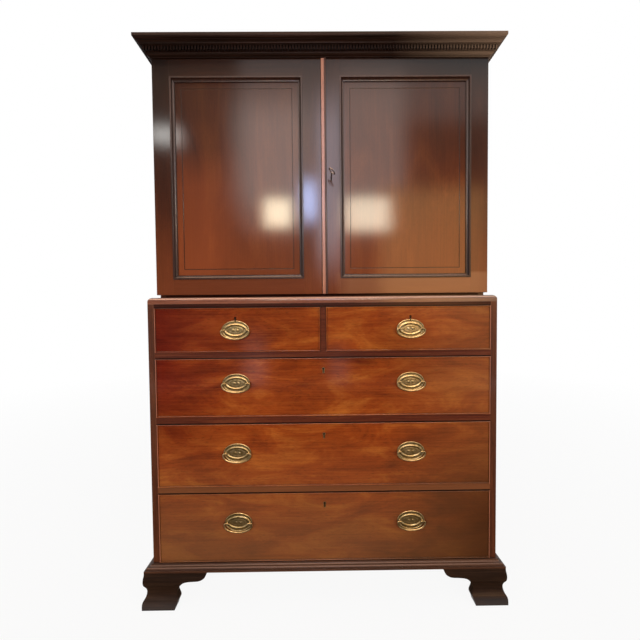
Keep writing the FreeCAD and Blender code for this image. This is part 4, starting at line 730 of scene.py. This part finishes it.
def foot_parts(hand, rear=False):
    """A bracket foot is an L-shaped section carried up: at each height both outer faces stand out by
    the ogee, and both arms end where the bracket's cut edge is.  A front foot has two shaped faces;
    a rear one has a flat board for its back.  hand is -1 for the left, and 1 for the right, mirrored."""
    along, up = smooth_line(BRACKET, 150).T
    up = np.maximum.accumulate(up) + np.linspace(0, 0.001, len(up))
    ogee = smooth_line(OGEE, 200)
    out = np.interp(up, ogee[:, 1], ogee[:, 0])
    side, inner = -HALF - out, LAP - HALF + 0 * out
    if rear:
        end, board = BACK + 0 * out, BACK - REAR_BOARD + 0 * out
        x_end, y_end = inner + along, BACK - along
        corners = [(x_end, end), (x_end, board), (inner, board), (inner, y_end), (side, y_end), (side, end)]
        inside, block_front = 2, BACK - REAR_BOARD - GLUE_BLOCK
    else:
        face, back = FRONT - out, FRONT + LAP + 0 * out
        x_end, y_end = along - HALF - TOE, along + FRONT - TOE
        corners = [(x_end, face), (side, face), (side, y_end), (inner, y_end), (inner, back), (x_end, back)]
        inside, block_front = 4, FRONT + LAP
    points = np.stack([np.column_stack([x, y, up]) for x, y in corners], 1).reshape(-1, 3)
    # both ends are two quads that fan out from the L's inside corner
    cap = (np.array([[0, 1, 2, 3], [0, 3, 4, 5]]) + inside) % 6
    sides = grid_faces(len(up), 6, closed_columns=True)
    quads = np.concatenate([sides, cap, cap[:, ::-1] + 6 * (len(up) - 1)])
    low = (LAP - HALF, block_front, 2)
    high = (LAP + GLUE_BLOCK - HALF, block_front + GLUE_BLOCK, FOOT_TOP)
    parts = [(points, quads), block(low, high, 1.0)]
    if hand < 0:
        return parts
    return [(points * (-1, 1, 1), quads[:, ::-1]) for points, quads in parts]


for name, parts in (
    ("foot_front_left", foot_parts(-1)),
    ("foot_front_right", foot_parts(1)),
    ("feet_rear", foot_parts(-1, True) + foot_parts(1, True)),
):
    foot = make_piece(f"{name}_shaped", parts, "carcass", feet_wood, 35)
    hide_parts(name)

# -------------------------------------------------------------------------- the drawers' metalwork

LOCK_HALF = (28, 22)
LOCK_FRONT, LOCK_BACK = 9, 20  # how deep a lock case starts and ends behind its drawer's front

for drawer, (row, lock_x, pulls) in DRAWERS.items():
    lock_z = ROW_TOPS[row] - LOCK_DROP
    pull_z = ROW_TOPS[row] - PULL_DROPS[row]
    low = (lock_x - LOCK_HALF[0], FRONT + LOCK_FRONT, lock_z - LOCK_HALF[1])
    high = (lock_x + LOCK_HALF[0], FRONT + LOCK_BACK, lock_z + LOCK_HALF[1])
    case = [block(low, high)]
    lock = make_piece(f"drawer_{drawer}_lock_case", case, f"drawer_{drawer}", lock_metal)
    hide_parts(f"drawer_{drawer}_brasses")
    parts = []
    for hand, x in pulls.items():
        notch = lock_z + KEYHOLE_FLOOR - pull_z if len(pulls) == 1 else None
        parts.append(pull_plate(x, pull_z, notch))
        parts += pull_posts(x, pull_z)
        body = f"bail_{drawer}{hand}"
        bail = make_piece(f"{body}_cast", bail_parts(x, pull_z), body, brass)
        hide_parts(body)
    if len(pulls) == 2:
        parts.append(keyhole_thread(lock_x, lock_z))
    fittings = make_piece(f"drawer_{drawer}_stamped_brasses", parts, f"drawer_{drawer}", brass)
    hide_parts(f"drawer_{drawer}_brasses")

# ----------------------------------------------------------------------------------------- the key

# the key's shank from its bow to its tip: radius, and the place along Y
SHANK_PROFILE = [
    (0.0, -38.0), (2.0, -37.9), (2.9, -36.6), (2.2, -34.9), (3.5, -33.2), (3.5, -31.4), (2.3, -29.8),
    (2.3, 12.0), (2.3, 14.9), (0.0, 15.0),
]


def key_parts():
    """The key lies along Y: an oval ring for a bow, wider than it is long, a turned shank with a
    collar, and a flat bit.  Each part is then turned about the shank by its own tilt."""
    turn = np.linspace(0, 2 * np.pi, 56, endpoint=False)
    bow = np.column_stack([0 * turn, -48 + 11.2 * np.cos(turn), 12.6 * np.sin(turn)])
    shank = smooth_line(SHANK_PROFILE, 46)
    parts = [
        (tube(bow, 2.0, 12, 0.8, (1, 0, 0), closed=True), -46),
        (turned(shank, (0, 0, 0), (0, 1, 0), 20), 0),
        (block((-1, 11.7, -10.4), (1, 14.9, -2.0), 0.2), 35),
    ]
    placed = []
    for (points, quads), tilt in parts:
        c, s = math.cos(math.radians(tilt)), math.sin(math.radians(tilt))
        spin = np.array([(c, 0, s), (0, 1, 0), (-s, 0, c)])
        placed.append((points @ spin.T + (KEY_X, DOOR_FRONT, DOOR_MIDDLE), quads))
    return placed


key = make_piece("door_key_turned", key_parts(), "door_key", key_metal)
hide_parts("door_key")

# --------------------------------------------------------------------- floor, light and the camera


def stage_sheet(name, corners, material):
    """A flat four-cornered sheet of the set, in metres."""
    mesh = bpy.data.meshes.new(name)
    mesh.from_pydata(corners, [], [(0, 1, 2, 3)])
    mesh.materials.append(material)
    sheet = bpy.data.objects.new(name, mesh)
    bpy.context.scene.collection.objects.link(sheet)
    return sheet


def seen_directly(tree):
    """1 for what the camera, gloss and glass see, 0 for the light that falls on things."""
    rays = add(tree, "ShaderNodeLightPath").node.outputs
    camera_or_gloss = {0: rays["Is Camera Ray"], 1: rays["Is Glossy Ray"]}
    seen = add(tree, "ShaderNodeMath", camera_or_gloss, operation="MAXIMUM")
    return add(tree, "ShaderNodeMath", {0: seen, 1: rays["Is Transmission Ray"]}, operation="MAXIMUM")


# The paper shows nearly white and keeps a light shadow near the press; further off it is all white.
PAPER_NEAR, PAPER_FAR = 0.92, 1.0
paper, tree = new_material("pale_studio_paper")
place = add(tree, "ShaderNodeTexCoord", out="Object")
distance = add(tree, "ShaderNodeVectorMath", {0: place}, out="Value", operation="LENGTH")
white = add(tree, "ShaderNodeMapRange", {0: distance, 1: 1.0, 2: 5.0, 3: PAPER_NEAR, 4: PAPER_FAR})
share = add(tree, "ShaderNodeMath", {0: white, 1: seen_directly(tree)}, operation="MULTIPLY")
matt = add(tree, "ShaderNodeBsdfDiffuse", {"Color": "#e6e4e0"})
glow = add(tree, "ShaderNodeEmission", {"Color": "#ffffff", "Strength": 1.0})
add(tree, "ShaderNodeOutputMaterial", {0: add(tree, "ShaderNodeMixShader", {0: share, 1: matt, 2: glow})})
FLOOR_HALF, FLOOR_Z = 30, -0.0005
square = np.array([(-1, -1), (1, -1), (1, 1), (-1, 1)]) * FLOOR_HALF
stage_sheet("floor", [(x, y, FLOOR_Z) for x, y in square.tolist()], paper)

WORLD_LIGHT = 0.36
world = bpy.data.worlds.new("studio")
bpy.context.scene.world = world
world.use_nodes = True
tree = world.node_tree
tree.nodes.clear()
strength = add(tree, "ShaderNodeMapRange", {0: seen_directly(tree), 3: WORLD_LIGHT, 4: 1.0})
sky = add(tree, "ShaderNodeBackground", {"Color": "#ffffff", "Strength": strength})
add(tree, "ShaderNodeOutputWorld", {0: sky})


def softbox(name, place, target, size, power, tint="#ffffff"):
    """A large soft lamp that faces a target and isn't mirrored."""
    lamp = bpy.data.lights.new(name, "AREA")
    lamp.shape = "RECTANGLE"
    lamp.size, lamp.size_y = size
    lamp.energy = power
    lamp.color = linear(tint)[:3]
    item = bpy.data.objects.new(name, lamp)
    bpy.context.scene.collection.objects.link(item)
    item.location = place
    away = np.array(target, float) - np.array(place, float)
    level = math.hypot(away[0], away[1])
    item.rotation_euler = (math.atan2(level, -away[2]), 0, math.atan2(away[1], away[0]) - math.pi / 2)
    item.visible_glossy = False
    item.visible_camera = False


softbox("front_left_softbox", (-2.2, -3.0, 0.75), (0, -0.2, 0.7), (2.2, 1.4), 66, "#fff4e6")
softbox("front_right_softbox", (2.3, -2.9, 0.75), (0, -0.2, 0.7), (2.0, 1.4), 66, "#fff0dc")
softbox("overhead_softbox", (0, -1.15, 4.0), (0, -0.3, 1.0), (2.6, 0.9), 10)

EYE = np.array((-16.96, -1312.8, 1032.0)) * MM  # where the camera is
FRAME, FOCAL = 640, 300.0  # the picture's side and the camera's focal length, in pixels
SENSOR = 36  # mm


def mirrored_card(name, corners, tint, strength, fade):
    """A sheet of the set that only polish and metal mirror, such as a window, a ceiling or the
    darker side of a room.  Its edges are soft for a share, fade, of its half size."""
    material, tree = new_material(name)
    place = add(tree, "ShaderNodeTexCoord", out="Generated")
    ways = add(tree, "ShaderNodeSeparateXYZ", {0: place}).node.outputs
    spread = np.ptp(np.array(corners), axis=0)
    shares = []
    for way in np.flatnonzero(spread > 0).tolist():
        off = add(tree, "ShaderNodeMath", {0: ways[way], 1: 0.5}, operation="SUBTRACT")
        off = add(tree, "ShaderNodeMath", {0: off}, operation="ABSOLUTE")
        edge = {0: off, 1: 0.5 - fade / 2, 2: 0.5, 3: 1.0, 4: 0.0}
        shares.append(add(tree, "ShaderNodeMapRange", edge, interpolation_type="SMOOTHSTEP"))
    share = add(tree, "ShaderNodeMath", {0: shares[0], 1: shares[1]}, operation="MULTIPLY")
    glow = add(tree, "ShaderNodeEmission", {"Color": tint, "Strength": strength})
    clear = add(tree, "ShaderNodeBsdfTransparent")
    surface = add(tree, "ShaderNodeMixShader", {0: share, 1: clear, 2: glow})
    add(tree, "ShaderNodeOutputMaterial", {0: surface})
    card = stage_sheet(name, corners, material)
    card.visible_camera = False
    card.visible_diffuse = False
    card.visible_shadow = False
    card.visible_transmission = False


def level_sheet(half, y0, y1, z):
    """Corners of a level sheet, half its width to each side of the press."""
    return [(-half, y0, z), (half, y0, z), (half, y1, z), (-half, y1, z)]


def seen_in_doors(left, top, right, bottom, away):
    """Corners of an upright sheet that the doors show between four lines of the picture: the eye,
    mirrored in the doors' plane, looks through them at a sheet a distance away."""
    reach = 2 * DOOR_FRONT * MM - EYE[1] + away
    x0, x1 = (EYE[0] + (px - FRAME / 2) / FOCAL * reach for px in (left, right))
    z1, z0 = (EYE[2] + (FRAME / 2 - py) / FOCAL * reach for py in (top, bottom))
    return [(x0, -away, z0), (x1, -away, z0), (x1, -away, z1), (x0, -away, z1)]


mirrored_card("room_floor", level_sheet(2.6, -3.6, 0.6, 0.03), "#665440", 1.0, 0.25)
mirrored_card("room_ceiling", level_sheet(4.0, -3.5, -0.4, 6.0), "#ffd0b0", 12.0, 0.1)
# the room that the doors mirror: the lines of the picture that each sheet lies between (left, top,
# right and bottom), how far away it is in metres, its tint, its strength and its soft share
IN_DOORS = {
    "room_low": (60, 236, 580, 430, 3.62, "#40281a", 1.0, 0.15),
    "room_left": (96, 0, 254, 320, 3.6, "#2a160f", 1.0, 0.22),
    "room_right": (392, 118, 504, 300, 3.6, "#1c0e08", 1.0, 0.3),
    "pale_wall_left": (222, 84, 334, 244, 3.55, "#ffece4", 5.0, 0.7),
    "pale_wall_right": (314, 84, 350, 300, 3.54, "#f2efff", 6.5, 0.6),
    "pale_wall_far": (330, 64, 420, 244, 3.56, "#ffece4", 3.4, 0.6),
    "lamp_tan": (372, 186, 500, 330, 3.5, "#e0a868", 5.5, 0.35),
    "window_left": (260, 200, 302, 242, 3.4, "#fff0d0", 36.0, 0.7),
    "window_right": (338, 200, 402, 246, 3.4, "#fff0d4", 26.0, 0.6),
    "window_cool": (300, 180, 324, 240, 3.39, "#b8ccff", 36.0, 0.8),
    "window_far_left": (144, 130, 196, 160, 3.4, "#f4f4f0", 18.0, 0.9),
    "post_left": (240, 326, 274, 440, 3.5, "#dcd0d8", 4.0, 0.8),
    "post_middle": (326, 340, 354, 440, 3.5, "#dcd0d8", 3.0, 0.8),
}
for name, (*lines, away, tint, strength, fade) in IN_DOORS.items():
    mirrored_card(name, seen_in_doors(*lines, away), tint, strength, fade)

camera = bpy.data.cameras.new("camera")
camera.sensor_width = SENSOR
camera.lens = SENSOR * FOCAL / FRAME
camera.clip_start, camera.clip_end = 0.05, 100
view = bpy.data.objects.new("camera", camera)
bpy.context.scene.collection.objects.link(view)
YAW, PITCH, ROLL = (math.radians(a) for a in (0.35, 1.53, -0.54))
ahead = np.array((math.sin(YAW) * math.cos(PITCH), math.cos(YAW) * math.cos(PITCH), -math.sin(PITCH)))
across = np.array((math.cos(YAW), -math.sin(YAW), 0))
upright = np.cross(across, ahead)
right = math.cos(ROLL) * across + math.sin(ROLL) * upright
up = -math.sin(ROLL) * across + math.cos(ROLL) * upright
pose = np.eye(4)
pose[:3] = np.column_stack([right, up, -ahead, EYE])
view.matrix_world = Matrix(pose.tolist())
bpy.context.scene.camera = view
bpy.context.scene.view_settings.view_transform = "Standard"
